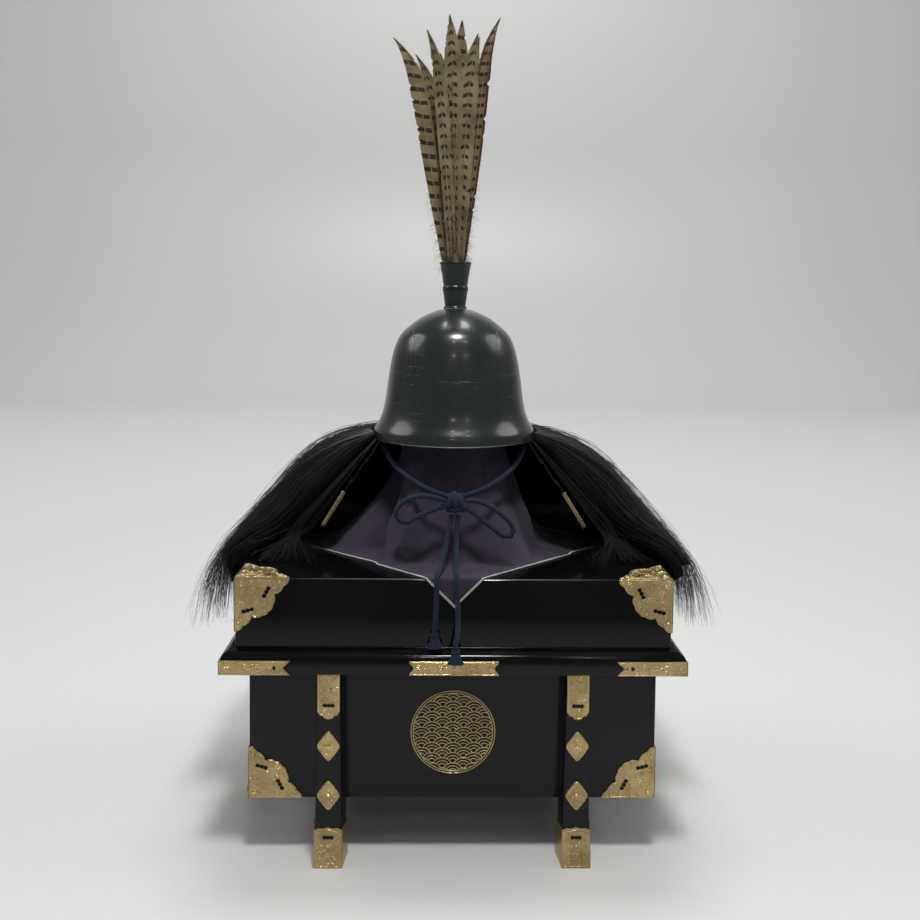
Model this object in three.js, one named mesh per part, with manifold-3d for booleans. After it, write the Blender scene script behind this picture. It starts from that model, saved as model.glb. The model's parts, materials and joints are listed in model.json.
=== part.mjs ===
// A kabuto helmet on a stand under a cloth, on top of its six-legged armour chest.
// Millimetres, +Z up, the front faces -Y, and X = 0 is the middle of the chest and the helmet.
import * as THREE from 'three';
import { mergeVertices } from 'three/addons/utils/BufferGeometryUtils.js';
import Module from 'manifold-3d';

const wasm = await Module();
wasm.setup();

// Fits
const gap = 0.3; // between pieces that touch on the real object
const fittingThickness = 1.2; // gilt sheet metal on the chest

// Chest body and lid
const bodyWidth = 599;
const bodyDepth = 420;
const bodyBottom = 85;
const bodyWall = 12;
const lidSide = 17; // how far the lid stands out from the body, each side
const lidWidth = bodyWidth + 2 * lidSide;
const lidDepth = bodyDepth + 2 * lidSide;
const lidTop = 418;
const lidPanel = 12; // thickness of the lid's top board
const lidEdge = 2; // small chamfer round the top of the lid
const flangeOut = 19; // how far the flange stands out from the lid, each side
const flangeWidth = lidWidth + 2 * flangeOut;
const flangeDepth = lidDepth + 2 * flangeOut;
const flangeBottom = 283;
const flangeBand = 21; // upright face of the flange
const mouldingHeight = 13; // rounded moulding between the flange and the lid wall
const lidSlip = 1; // each side, between the lid and the body inside it

// Legs and their fittings
const legWidth = 32; // front face at the top
const legFootWidth = 39; // front face at the floor
const legBackExtra = 9; // how much wider the back of a leg is than its front
const legDepth = 30;
const legFlare = 9; // how far the foot sweeps forward
const legSpread = 180; // from the middle of the chest to a front or back leg
const shoeHeight = 58;
const shoeWall = 1.3;
const shoeSole = 2;
const capHeight = 67;
const lozengeWidth = 31;
const lozengeHeight = 42;
const lozengeRise = 1.2;
const lozengeLevels = [104, 177];
const cornerSize = 78;
const flangeCornerLength = 101;
const flangePlateLength = 128;

// Bowl
const rimHeight = 595;
const bowlRadius = 135;
const bowlHeight = 213;
const bowlWall = 4;

// Plume and its holder
const socketBottomRadius = 17;
const socketRingRadius = 21;
const socketTopRadius = 26;
const socketBaseHeight = 33;
const socketCupHeight = 43;
const socketWall = 2;
const cupFloor = 6;
const plumeCoreRadius = 12;
const plumeCoreHeight = 85;
const plumeRise = 436; // from the bottom of the plume to the tip of a feather of length 1
const plumeSpread = 64; // how far a feather of lean 1 has its tip from the middle
const featherWidth = 33;
const featherThickness = 1.6;

// Neck guard
const lameCount = 4;
const lameThickness = 2.5;
const lameLap = 8;
const neckFlare = 90; // how much wider the bottom of the neck guard is than its top, a side
const neckDrop = 134;
const neckOpening = 67; // degrees from the front to each front edge
const edgeStripWidth = 7;
const edgeStripLength = 64;
const edgeStripThickness = 2;

// Hair
const hairLocks = 21;
const hairOverhang = 78; // how far the hair reaches past the edge of the lid
const hairDrape = 20; // inner side of the hair, out from the edge of the lid
const hairLength = 412;
const lockDepth = 8;
const lockRagged = 24; // how much the locks differ in length
const hairOpening = 70; // degrees from the front to each front edge of the hair

// Stand and its cloth
const standFootRadius = 110;
const standFootThickness = 12;
const standPostRadius = 12;
const shoulderRadius = 83;
const shoulderThickness = 10;
const shoulderHeight = 180; // top of the shoulder above the lid
const crownPadRadius = 25;
const crownPadThickness = 8;
const clothThickness = 2;
const clothReach = 270; // from the middle to a corner of the cloth that lies flat
const clothOverEdge = 25; // a column whose hem ends this near the lid's edge is laid out to it
const clothColumns = 40;

// Cord
const cordDiameter = 8;
const cordSides = 8;
const knotRadius = 18;
const tasselLength = 24;
const tasselRadius = 14;
const tasselStrands = 12;

const black = { color: 0x0b0b0c, roughness: 0.22, metalness: 0.0 };
const greyLacquer = { color: 0x34363a, roughness: 0.28, metalness: 0.2 };
const gold = { color: 0xb98a3e, roughness: 0.35, metalness: 1.0 };
const darkMetal = { color: 0x1b2420, roughness: 0.4, metalness: 0.6 };
const hairBlack = { color: 0x120f0f, roughness: 0.6, metalness: 0.0 };
const purple = { color: 0x33283a, roughness: 0.85, metalness: 0.0 };
const navy = { color: 0x1d2230, roughness: 0.8, metalness: 0.0 };
const feather = { color: 0x6f6244, roughness: 0.7, metalness: 0.0 };
const wood = { color: 0x5a4632, roughness: 0.7, metalness: 0.0 };

const object = new THREE.Group();

function add(name, geometry, look, parent = object) {
  const mesh = new THREE.Mesh(geometry, new THREE.MeshStandardMaterial(look));
  mesh.name = name;
  parent.add(mesh);
  return mesh;
}

const radians = (degrees) => THREE.MathUtils.degToRad(degrees);

// Turns the triangles of a closed mesh to face out, and leaves out those with no area.
function closed(positions, triangles) {
  let volume = 0;
  const point = (i) => new THREE.Vector3().fromArray(positions, i * 3);
  for (let i = 0; i < triangles.length; i += 3) {
    const [a, b, c] = [0, 1, 2].map((k) => point(triangles[i + k]));
    volume += a.dot(b.cross(c));
  }
  const faces = [];
  for (let i = 0; i < triangles.length; i += 3) {
    const [a, b, c] = triangles.slice(i, i + 3);
    if (a === b || b === c || a === c) continue;
    faces.push(...(volume < 0 ? [a, c, b] : [a, b, c]));
  }
  const geometry = new THREE.BufferGeometry();
  geometry.setAttribute('position', new THREE.Float32BufferAttribute(positions, 3));
  geometry.setIndex(faces);
  return geometry;
}

function welded(geometry) {
  const bare = geometry.clone();
  for (const name of ['normal', 'uv']) bare.deleteAttribute(name);
  const merged = mergeVertices(bare, 1e-4);
  return closed([...merged.attributes.position.array], [...merged.index.array]);
}

function toSolid(geometry) {
  const mesh = welded(geometry);
  return new wasm.Manifold(new wasm.Mesh({
    numProp: 3,
    vertProperties: new Float32Array(mesh.attributes.position.array),
    triVerts: new Uint32Array(mesh.index.array),
  }));
}

function toGeometry(solid) {
  const mesh = solid.getMesh();
  const geometry = new THREE.BufferGeometry();
  geometry.setAttribute('position', new THREE.BufferAttribute(mesh.vertProperties, 3));
  geometry.setIndex(new THREE.BufferAttribute(mesh.triVerts, 1));
  return geometry;
}

const join = (pieces) => toGeometry(pieces.map(toSolid).reduce((a, b) => a.add(b)));
const cut = (whole, tool) => toGeometry(toSolid(whole).subtract(toSolid(tool)));

// A solid through rings of points that are convex and have as many points each.
function loft(rings) {
  const count = rings[0].length;
  const positions = rings.flat(2);
  const triangles = [];
  for (let r = 0; r + 1 < rings.length; r += 1) {
    for (let i = 0; i < count; i += 1) {
      const [a, b] = [r * count + i, r * count + ((i + 1) % count)];
      triangles.push(a, b, b + count, a, b + count, a + count);
    }
  }
  const last = (rings.length - 1) * count;
  for (let i = 1; i + 1 < count; i += 1) {
    triangles.push(0, i + 1, i, last, last + i, last + i + 1);
  }
  return closed(positions, triangles);
}

// A closed wall between two grids of points; a ring grid joins its last column to its first.
function wallBetween(outer, inner, ring = false) {
  const [rows, columns] = [outer.length, outer[0].length];
  const positions = [outer, inner].flat(3);
  const at = (side, r, c) => side * rows * columns + r * columns + (c % columns);
  const triangles = [];
  const quad = (a, b, c, d) => triangles.push(a, b, c, a, c, d);
  const across = ring ? columns : columns - 1;
  for (let c = 0; c < across; c += 1) {
    for (let r = 0; r + 1 < rows; r += 1) {
      quad(at(0, r, c), at(0, r, c + 1), at(0, r + 1, c + 1), at(0, r + 1, c));
      quad(at(1, r, c), at(1, r + 1, c), at(1, r + 1, c + 1), at(1, r, c + 1));
    }
    quad(at(0, 0, c), at(1, 0, c), at(1, 0, c + 1), at(0, 0, c + 1));
    quad(at(0, rows - 1, c), at(0, rows - 1, c + 1), at(1, rows - 1, c + 1), at(1, rows - 1, c));
  }
  for (let r = 0; !ring && r + 1 < rows; r += 1) {
    const end = columns - 1;
    quad(at(0, r, 0), at(0, r + 1, 0), at(1, r + 1, 0), at(1, r, 0));
    quad(at(0, r, end), at(1, r, end), at(1, r + 1, end), at(0, r + 1, end));
  }
  return closed(positions, triangles);
}

const turned = (profile, sides) => welded(new THREE.LatheGeometry(
  profile.map(([radius, height]) => new THREE.Vector2(radius, height)), sides,
).rotateX(Math.PI / 2));

const box = (width, depth, bottom, top) => [bottom, top].map((z) => [
  [-width / 2, -depth / 2, z], [width / 2, -depth / 2, z],
  [width / 2, depth / 2, z], [-width / 2, depth / 2, z],
]);

// A flat plate with an outline and holes, laid on a plane: u and v run along it, out is its normal.
function plate(outline, holes, thickness, origin, u, v, out, lift = gap) {
  const shape = new THREE.Shape(outline.map(([x, y]) => new THREE.Vector2(x, y)));
  shape.holes = holes.map((hole) => new THREE.Path(hole.map(([x, y]) => new THREE.Vector2(x, y))));
  const flat = new THREE.ExtrudeGeometry(shape, { depth: thickness, bevelEnabled: false });
  const place = new THREE.Matrix4().makeBasis(
    new THREE.Vector3(...u), new THREE.Vector3(...v), new THREE.Vector3(...out),
  );
  place.setPosition(new THREE.Vector3(...out).multiplyScalar(lift).add(new THREE.Vector3(...origin)));
  return welded(flat.applyMatrix4(place));
}

// Chest
function chestBody() {
  const top = lidTop - lidPanel - gap;
  const outside = loft(box(bodyWidth, bodyDepth, bodyBottom, top));
  const inside = loft(box(
    bodyWidth - 2 * bodyWall, bodyDepth - 2 * bodyWall, bodyBottom + bodyWall, top + bodyWall,
  ));
  add('chest_body', cut(outside, inside), black);
}

function chestLid() {
  const rows = [{ width: flangeWidth, depth: flangeDepth, z: flangeBottom }];
  const steps = 3;
  for (let i = 0; i <= steps; i += 1) {
    const turn = (i / steps) * (Math.PI / 2);
    const inset = 1 - Math.cos(turn);
    rows.push({
      width: flangeWidth - (flangeWidth - lidWidth) * inset,
      depth: flangeDepth - (flangeDepth - lidDepth) * inset,
      z: flangeBottom + flangeBand + mouldingHeight * Math.sin(turn),
    });
  }
  rows.push({ width: lidWidth, depth: lidDepth, z: lidTop - lidEdge });
  rows.push({ width: lidWidth - 2 * lidEdge, depth: lidDepth - 2 * lidEdge, z: lidTop });
  const outside = loft(rows.map(({ width, depth, z }) => box(width, depth, z, z)[0]));
  const inside = loft(box(
    bodyWidth + 2 * lidSlip, bodyDepth + 2 * lidSlip, flangeBottom - lidPanel, lidTop - lidPanel,
  ));
  add('chest_lid', cut(outside, inside), black);
}

// One leg in its own frame: its back is at y = 0 and it faces -y.
const legTop = flangeBottom - gap;
const legFrontWidth = (z) => legFootWidth + (legWidth - legFootWidth) * Math.min(1, z / legTop);
const flareHeight = 2 * shoeHeight;
const legFlareAt = (z) => legFlare * Math.max(0, 1 - z / flareHeight) ** 2;

function legRing(z, grow = 0) {
  const [front, back] = [legFrontWidth(z) / 2 + grow, (legFrontWidth(z) + legBackExtra) / 2 + grow];
  const face = -(legDepth + legFlareAt(z) + grow);
  return [[-back, grow, z], [-front, face, z], [front, face, z], [back, grow, z]];
}

const lozengeOutline = [[1, 0], [0.86, 0.24], [0.62, 0.48], [0.36, 0.74]];

function lozenge(level) {
  const quarter = lozengeOutline.map(([x, y]) => [x * lozengeWidth / 2, y * lozengeHeight / 2]);
  const tip = [0, lozengeHeight / 2];
  const half = [...quarter, tip, ...quarter.map(([x, y]) => [-x, y]).reverse()];
  const outline = [...half, ...half.slice(1, -1).map(([x, y]) => [x, -y]).reverse()];
  const sunk = legDepth / 4;
  return plate(
    outline, [], sunk + lozengeRise, [0, -legDepth + sunk, level], [1, 0, 0], [0, 0, 1], [0, -1, 0], 0,
  );
}

function legWithLozenges() {
  const floor = shoeSole + gap;
  const levels = [floor, shoeHeight / 2, shoeHeight, flareHeight, legTop];
  return join([loft(levels.map((z) => legRing(z))), ...lozengeLevels.map(lozenge)]);
}

function shoe() {
  const grow = gap + shoeWall;
  const levels = [0, shoeHeight / 2, shoeHeight];
  const outer = loft(levels.map((z) => legRing(z, grow)));
  const inner = loft([shoeSole, shoeHeight / 2, shoeHeight + grow].map((z) => legRing(z, gap)));
  const half = legFootWidth / 2 + legBackExtra;
  const lobes = [[1, 0.93], [0.8, 0.9], [0.5, 0.97], [0.25, 0.96], [0, 1]];
  const edge = lobes.map(([x, y]) => [x * half, y * shoeHeight]);
  const mirrored = edge.slice(0, -1).map(([x, y]) => [-x, y]).reverse();
  const deep = legDepth + legFlare + 2 * grow;
  const view = plate(
    [[-half, -grow], [half, -grow], ...edge, ...mirrored], [], 2 * deep,
    [0, deep, 0], [1, 0, 0], [0, 0, 1], [0, -1, 0], 0,
  );
  return toGeometry(toSolid(outer).subtract(toSolid(inner)).intersect(toSolid(view)));
}

// Three overlapping dots as one long hole with a waist
function slot(x, y, angle, length = 19, width = 6) {
  const outline = [[0.5, 0], [0.25, 0.5], [-0.25, 0.5], [-0.5, 0], [-0.25, -0.5], [0.25, -0.5]];
  const [c, s] = [Math.cos(radians(angle)), Math.sin(radians(angle))];
  return outline.map(([u, v]) => [
    x + u * length * c - v * width * s, y + u * length * s + v * width * c,
  ]);
}

function legCap() {
  const half = legFrontWidth(legTop) / 2;
  const lobes = [[1, 0.17], [0.8, 0.08], [0.6, 0.09], [0.36, 0.02], [0, 0]];
  const right = lobes.map(([x, y]) => [x * half, y * capHeight]);
  const left = right.slice(0, -1).map(([x, y]) => [-x, y]).reverse();
  const outline = [[-half, capHeight], [half, capHeight], ...right, ...left];
  return plate(
    outline, [slot(0, capHeight * 0.31, 0)], fittingThickness,
    [0, -legDepth, legTop - capHeight], [1, 0, 0], [0, 0, 1], [0, -1, 0],
  );
}

function legs() {
  const places = {
    front_left: [-legSpread, -bodyDepth / 2, 0],
    front_right: [legSpread, -bodyDepth / 2, 0],
    right: [bodyWidth / 2, 0, 90],
    back_right: [legSpread, bodyDepth / 2, 180],
    back_left: [-legSpread, bodyDepth / 2, 180],
    left: [-bodyWidth / 2, 0, -90],
  };
  for (const [name, [x, y, angle]] of Object.entries(places)) {
    const place = new THREE.Group();
    place.position.set(x, y, 0);
    place.rotation.z = radians(angle);
    object.add(place);
    const off = new THREE.Group();
    off.position.y = -gap;
    place.add(off);
    add(`leg_${name}`, legWithLozenges(), black, off);
    add(`shoe_${name}`, shoe(), gold, off);
    add(`leg_cap_${name}`, legCap(), gold, off);
  }
}

// Scalloped corner outline as shares of its size, the corner itself at 0, 0
const scallops = [[1, 0], [0.9, 0.14], [0.72, 0.3], [0.7, 0.5], [0.62, 0.62], [0.5, 0.7],
  [0.3, 0.72], [0.14, 0.9], [0, 1]];
const sheetEdge = gap + fittingThickness; // how far a plate wraps past the corner it sits on
const cornerSlots = [slot(45, 20, -62), slot(18, 47, -15)];

function cornerOutline(wrapV) {
  const outline = scallops.map(([u, v]) => [u * cornerSize, v * cornerSize]);
  outline[0][1] = -wrapV;
  outline.push([-sheetEdge, cornerSize], [-sheetEdge, -wrapV]);
  outline[scallops.length - 1][0] = -sheetEdge;
  outline.splice(scallops.length, 1);
  return outline;
}

// Copies a fitting to the four corners of a box, for signs of x and y.
function fourCorners(name, make) {
  for (const [side, x] of [['left', -1], ['right', 1]]) {
    for (const [end, y] of [['front', -1], ['back', 1]]) {
      add(`${name}_${end}_${side}`, make(x, y), gold);
    }
  }
}

function lidCorner(x, y) {
  const corner = [x * lidWidth / 2, y * lidDepth / 2, lidTop];
  const outline = cornerOutline(sheetEdge);
  const make = (u, v, out) => plate(outline, cornerSlots, fittingThickness, corner, u, v, out);
  return join([
    make([-x, 0, 0], [0, 0, -1], [0, y, 0]),
    make([0, -y, 0], [0, 0, -1], [x, 0, 0]),
    make([-x, 0, 0], [0, -y, 0], [0, 0, 1]),
  ]);
}

function bodyCorner(x, y) {
  const corner = [x * bodyWidth / 2, y * bodyDepth / 2, bodyBottom];
  const make = (u, out) => plate(
    cornerOutline(0), cornerSlots, fittingThickness, corner, u, [0, 0, 1], out,
  );
  return join([make([-x, 0, 0], [0, y, 0]), make([0, -y, 0], [x, 0, 0])]);
}

const fishtail = flangeBand * 0.5;
const heartOutline = [[0, -0.5], [0.5, 0.1], [0.35, 0.45], [0, 0.25], [-0.35, 0.45], [-0.5, 0.1]];

function flangeCorner(x, y) {
  const corner = [x * flangeWidth / 2, y * flangeDepth / 2, flangeBottom];
  const heartSize = flangeBand * 0.4;
  const heart = heartOutline.map(([u, v]) => [
    flangeCornerLength - 2.2 * fishtail + v * heartSize, flangeBand / 2 + u * heartSize,
  ]);
  const outline = [[-sheetEdge, 0], [flangeCornerLength, 0],
    [flangeCornerLength - fishtail, flangeBand / 2], [flangeCornerLength, flangeBand],
    [-sheetEdge, flangeBand]];
  const make = (u, out) => plate(outline, [heart], fittingThickness, corner, u, [0, 0, 1], out);
  return join([make([-x, 0, 0], [0, y, 0]), make([0, -y, 0], [x, 0, 0])]);
}

function flangePlate(y) {
  const half = flangePlateLength / 2;
  const end = [[1, 0], [0.94, 0.3], [0.88, 0.5], [0.94, 0.7], [1, 1]];
  const right = end.map(([u, v]) => [u * half, v * flangeBand]);
  const outline = [...right, ...right.map(([u, v]) => [-u, v]).reverse()];
  return plate(
    outline, [], fittingThickness, [0, y * flangeDepth / 2, flangeBottom],
    [1, 0, 0], [0, 0, 1], [0, y, 0],
  );
}

function chestFittings() {
  fourCorners('lid_corner', lidCorner);
  fourCorners('body_corner', bodyCorner);
  fourCorners('flange_corner', flangeCorner);
  add('flange_plate_front', flangePlate(-1), gold);
  add('flange_plate_back', flangePlate(1), gold);
}

// Bowl: outer wall as shares of its radius and height, from the rim up
const bowlSides = 24;
const crownFlat = 0.12; // radius of the flat place for the plume holder, as a share
const bowlOutline = [
  { out: 1, up: 0 }, { out: 0.995, up: 0.014 }, { out: 0.978, up: 0.07 }, { out: 0.926, up: 0.127 },
  { out: 0.885, up: 0.188 }, { out: 0.85, up: 0.282 }, { out: 0.822, up: 0.41 },
  { out: 0.785, up: 0.563 }, { out: 0.74, up: 0.69 }, { out: 0.663, up: 0.798 },
  { out: 0.533, up: 0.878 }, { out: 0.36, up: 0.95 }, { out: crownFlat + 0.03, up: 0.998 },
  { out: crownFlat, up: 1 }, { out: 0, up: 1 },
];

function bowl() {
  const outer = bowlOutline.map(({ out, up }) => [out * bowlRadius, up * bowlHeight]);
  const ceiling = bowlHeight - bowlWall;
  const inner = outer.filter(([radius, height], i) => (
    i % 2 === 0 && height < ceiling - bowlWall && radius > crownPadRadius + 2 * bowlWall
  )).map(([radius, height]) => [radius - bowlWall, height]);
  inner.push([crownPadRadius + bowlWall, ceiling], [0, ceiling]);
  const profile = [...inner.reverse(), ...outer].map(([r, h]) => [r, h + rimHeight]);
  add('bowl', turned(profile, bowlSides), greyLacquer);
}

const crownTop = rimHeight + bowlHeight;

function plumeHolder() {
  const base = crownTop + gap;
  const ring = socketRingRadius;
  add('socket_base', turned([
    [0, base], [socketBottomRadius + 2, base], [socketBottomRadius + 2, base + 2],
    [socketBottomRadius, base + 4], [ring - 2, base + socketBaseHeight - 3],
    [ring, base + socketBaseHeight - 3], [ring, base + socketBaseHeight], [0, base + socketBaseHeight],
  ], 18), darkMetal);
  const foot = base + socketBaseHeight + gap;
  const top = foot + socketCupHeight;
  add('socket_cup', turned([
    [0, foot], [ring, foot], [ring, foot + 2], [ring - 1.5, foot + 4],
    [socketTopRadius - 1, top - 4], [socketTopRadius, top - 3], [socketTopRadius, top],
    [socketTopRadius - socketWall, top], [ring - 1.5 - socketWall, foot + cupFloor],
    [0, foot + cupFloor],
  ], 18), darkMetal);
}

// Feathers: lean and depth place the tip sideways and front to back, long is a share of the
// plume's rise, wide is a share of the feather's width, bow bends it outward on its way.
const feathers = [
  { lean: -1.5, depth: -0.1, long: 0.91, wide: 1.1, bow: 0.1 },
  { lean: -1.0, depth: 0.35, long: 0.87, wide: 0.8, bow: 0.05 },
  { lean: -0.72, depth: -0.35, long: 0.93, wide: 0.7, bow: 0.05 },
  { lean: -0.42, depth: 0.2, long: 0.87, wide: 0.8, bow: 0.0 },
  { lean: -0.2, depth: -0.25, long: 0.99, wide: 1.0, bow: 0.0 },
  { lean: 0.1, depth: 0.05, long: 0.985, wide: 1.3, bow: 0.0 },
  { lean: 0.46, depth: -0.3, long: 0.92, wide: 1.0, bow: 0.05 },
  { lean: 0.52, depth: 0.4, long: 0.94, wide: 0.9, bow: 0.08 },
  { lean: 1.0, depth: 0.1, long: 1.0, wide: 0.8, bow: 0.12 },
];
const lowerSway = 0.62; // share of the lean that a feather takes on the way, the rest near its tip
const vane = [
  { along: 0, half: 0.18 }, { along: 0.25, half: 0.55 }, { along: 0.55, half: 0.95 },
  { along: 0.75, half: 1 }, { along: 0.9, half: 0.75 }, { along: 1, half: 0.12 },
];

function plume() {
  const foot = crownTop + 2 * gap + socketBaseHeight + cupFloor + gap;
  const core = turned([
    [0, foot], [plumeCoreRadius, foot], [1.5 * plumeCoreRadius, foot + plumeCoreHeight / 2],
    [plumeCoreRadius, foot + plumeCoreHeight], [0, foot + plumeCoreHeight],
  ], 10);
  const blades = feathers.map(({ lean, depth, long, wide, bow }) => {
    const root = [lean * plumeCoreRadius / 2, depth * plumeCoreRadius];
    return loft(vane.map(({ along, half }) => {
      const sway = lowerSway * along ** 1.2 + (1 - lowerSway) * along ** 8;
      const x = root[0] + lean * plumeSpread * sway + bow * lean * plumeSpread * Math.sin(Math.PI * along);
      const y = root[1] + depth * plumeSpread * sway;
      const z = foot + gap + plumeCoreRadius + along * (long * plumeRise - plumeCoreRadius);
      const width = half * wide * featherWidth / 2;
      return [[x - width, y, z], [x, y - featherThickness, z], [x + width, y, z],
        [x, y + featherThickness, z]];
    }));
  });
  add('plume', join([core, ...blades]), feather);
}

// Neck guard: each lame laps over the outside of the one above it.
const neckSlope = Math.hypot(neckFlare, neckDrop);
const neckOut = [neckFlare / neckSlope, -neckDrop / neckSlope]; // down the neck guard: out, up
const neckTop = [bowlRadius - 2 * lameThickness, rimHeight - gap - lameThickness * neckOut[0]];
const lameLift = lameThickness + gap;
const lamePitch = neckSlope / lameCount;

// A point on the neck guard: how far down its slope, how far out from its inner face, its angle.
function onNeck(down, lift, angle) {
  const radius = neckTop[0] + down * neckOut[0] - lift * neckOut[1];
  const height = neckTop[1] + down * neckOut[1] + lift * neckOut[0];
  return [radius * Math.sin(angle), -radius * Math.cos(angle), height];
}

function neckGuard() {
  const columns = 23;
  const angles = Array.from({ length: columns }, (_, i) => radians(
    neckOpening + (360 - 2 * neckOpening) * (i / (columns - 1)),
  ));
  for (let k = 0; k < lameCount; k += 1) {
    const ends = [Math.max(0, k * lamePitch - lameLap), (k + 1) * lamePitch];
    const face = (lift) => ends.map((down) => angles.map((angle) => onNeck(down, lift, angle)));
    const lift = k * lameLift;
    add(`neck_lame_${k + 1}`, wallBetween(face(lift + lameThickness), face(lift)), black);
  }
}

function neckEdges() {
  const from = neckSlope - edgeStripLength;
  for (const [name, side] of [['left', -1], ['right', 1]]) {
    const angle = side * radians(neckOpening);
    const away = [-side * Math.cos(angle), -side * Math.sin(angle), 0];
    const ring = (down) => [[0, gap], [edgeStripWidth, gap], [edgeStripWidth, gap + edgeStripThickness],
      [0, gap + edgeStripThickness]].map(([out, off]) => {
      const point = onNeck(down, (lameCount - 1) * lameLift + lameThickness - edgeStripWidth + out, angle);
      return point.map((value, i) => value + away[i] * off);
    });
    add(`neck_edge_${name}`, loft([from, neckSlope].map(ring)), gold);
  }
}

// Hair: rows from the roots to the tips. The outer side gives how far out towards the end of the
// overhang and how far up towards the rim; the inner side lies on the neck guard and then on the lid.
const hairOuter = [
  { out: 0.01, up: 1.08 }, { out: 0.205, up: 1.0 }, { out: 0.465, up: 0.757 },
  { out: 0.655, up: 0.4 }, { out: 0.85, up: 0.09 }, { out: 0.945, up: -0.17 },
];
const hairInner = [{ up: 1.01 }, { up: 0.8 }, { up: 0.52 }, { up: 0.26 }];
const hairNeckSlope = 0.8; // out for each millimetre down, a little flatter than the neck guard

// How far the outline of an oblong is from its middle, in a direction
const edgeAt = (width, depth, angle) => Math.min(
  width / 2 / Math.abs(Math.sin(angle)), depth / 2 / Math.abs(Math.cos(angle)),
);

// Whether a corner of the flange lies within this step of a direction
const nearFlangeCorner = (angle, step) => Math.abs(
  Math.acos(Math.abs(Math.cos(angle))) - Math.atan2(flangeWidth, flangeDepth),
) < step;

function hairCape() {
  const columns = 2 * hairLocks + 1;
  const pitch = radians(360 - 2 * hairOpening) / (columns - 1);
  const above = rimHeight - lidTop;
  const root = bowlRadius + 2 * gap;
  const [outer, inner] = [[], []];
  const put = (grid, row, angle, radius, height) => {
    grid[row] ??= [];
    grid[row].push([radius * Math.sin(angle), -radius * Math.cos(angle), height]);
  };
  for (let c = 0; c < columns; c += 1) {
    const angle = radians(hairOpening) + c * pitch;
    const widest = (width, depth) => Math.max(...[-1, 0, 1].map(
      (step) => edgeAt(width, depth, angle + step * pitch),
    ));
    const edge = widest(lidWidth, lidDepth);
    const pastFlange = 2 * (gap + fittingThickness) + (nearFlangeCorner(angle, pitch)
      ? Math.hypot(flangeWidth, flangeDepth) / 2 : widest(flangeWidth, flangeDepth));
    const reach = edge + hairOverhang - root;
    const valley = c % 2;
    const ragged = lockRagged * Math.sin(c * 2.4) + (valley ? lockRagged / 2 : 0);
    hairOuter.forEach(({ out, up }, row) => {
      const depth = valley * lockDepth * Math.min(1, row / 2);
      put(outer, row, angle, root + out * reach - depth, lidTop + up * above);
    });
    hairInner.forEach(({ up }, row) => {
      const drop = (1.01 - up) * above;
      put(inner, row, angle, root + drop * hairNeckSlope, lidTop + up * above);
    });
    const onNeckGuard = root + (1.01 - hairInner.at(-1).up) * above * hairNeckSlope;
    const knee = Math.max(edge + hairDrape, onNeckGuard + 2);
    const kneeHeight = lidTop + 0.08 * above;
    put(inner, 4, angle, knee, kneeHeight);
    put(inner, 5, angle, knee + 4, lidTop - 0.15 * above);
    const used = Math.hypot(onNeckGuard - root, 0.75 * above) + knee - onNeckGuard;
    const fall = Math.max(0.35 * above, hairLength - used) + ragged;
    put(outer, 6, angle, root + reach - valley * lockDepth, kneeHeight - fall);
    // Hair that is long enough to reach the flange hangs clear of it all the way down
    const [from, tip] = [lidTop - 0.15 * above, kneeHeight - fall + lockDepth];
    const level = flangeBottom + flangeBand;
    const away = (pastFlange - knee - 4) * Math.max(1, (from - tip) / (from - level));
    put(inner, 6, angle, Math.max(knee + 6, knee + 4 + away), tip);
  }
  add('hair_cape', wallBetween(outer, inner), hairBlack);
}

// Stand: a foot plate, a post, a round shoulder and a pad under the crown, in one piece
function stand() {
  const foot = lidTop + gap;
  const shoulder = lidTop + shoulderHeight;
  const pad = crownTop - bowlWall - gap;
  add('stand', turned([
    [0, foot], [standFootRadius, foot], [standFootRadius, foot + standFootThickness],
    [standPostRadius, foot + standFootThickness], [standPostRadius, shoulder - shoulderThickness],
    [shoulderRadius, shoulder - shoulderThickness], [shoulderRadius, shoulder],
    [standPostRadius, shoulder], [standPostRadius, pad - crownPadThickness],
    [crownPadRadius, pad - crownPadThickness], [crownPadRadius, pad], [0, pad],
  ], 16), wood);
}

// Cloth: where its folds meet the lid, as shares of the shoulder's radius, by angle from the front
const clothFolds = [
  { angle: -180, foot: 1.78 }, { angle: -140, foot: 1.9 }, { angle: -118, foot: 1.72 },
  { angle: -97, foot: 2.5 }, { angle: -72, foot: 2.55 }, { angle: -56, foot: 1.9 },
  { angle: -38, foot: 2.5 }, { angle: -20, foot: 1.86 }, { angle: 0, foot: 1.78 },
  { angle: 18, foot: 1.8 }, { angle: 38, foot: 2.1 }, { angle: 58, foot: 1.75 },
  { angle: 76, foot: 2.02 }, { angle: 97, foot: 2.35 }, { angle: 118, foot: 1.72 },
  { angle: 145, foot: 1.9 }, { angle: 180, foot: 1.78 },
];

function foldFoot(degrees) {
  const next = clothFolds.findIndex(({ angle }) => angle >= degrees);
  const [a, b] = [clothFolds[Math.max(0, next - 1)], clothFolds[next]];
  const share = b.angle === a.angle ? 0 : (degrees - a.angle) / (b.angle - a.angle);
  return shoulderRadius * (a.foot + (b.foot - a.foot) * (1 - Math.cos(Math.PI * share)) / 2);
}

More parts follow.
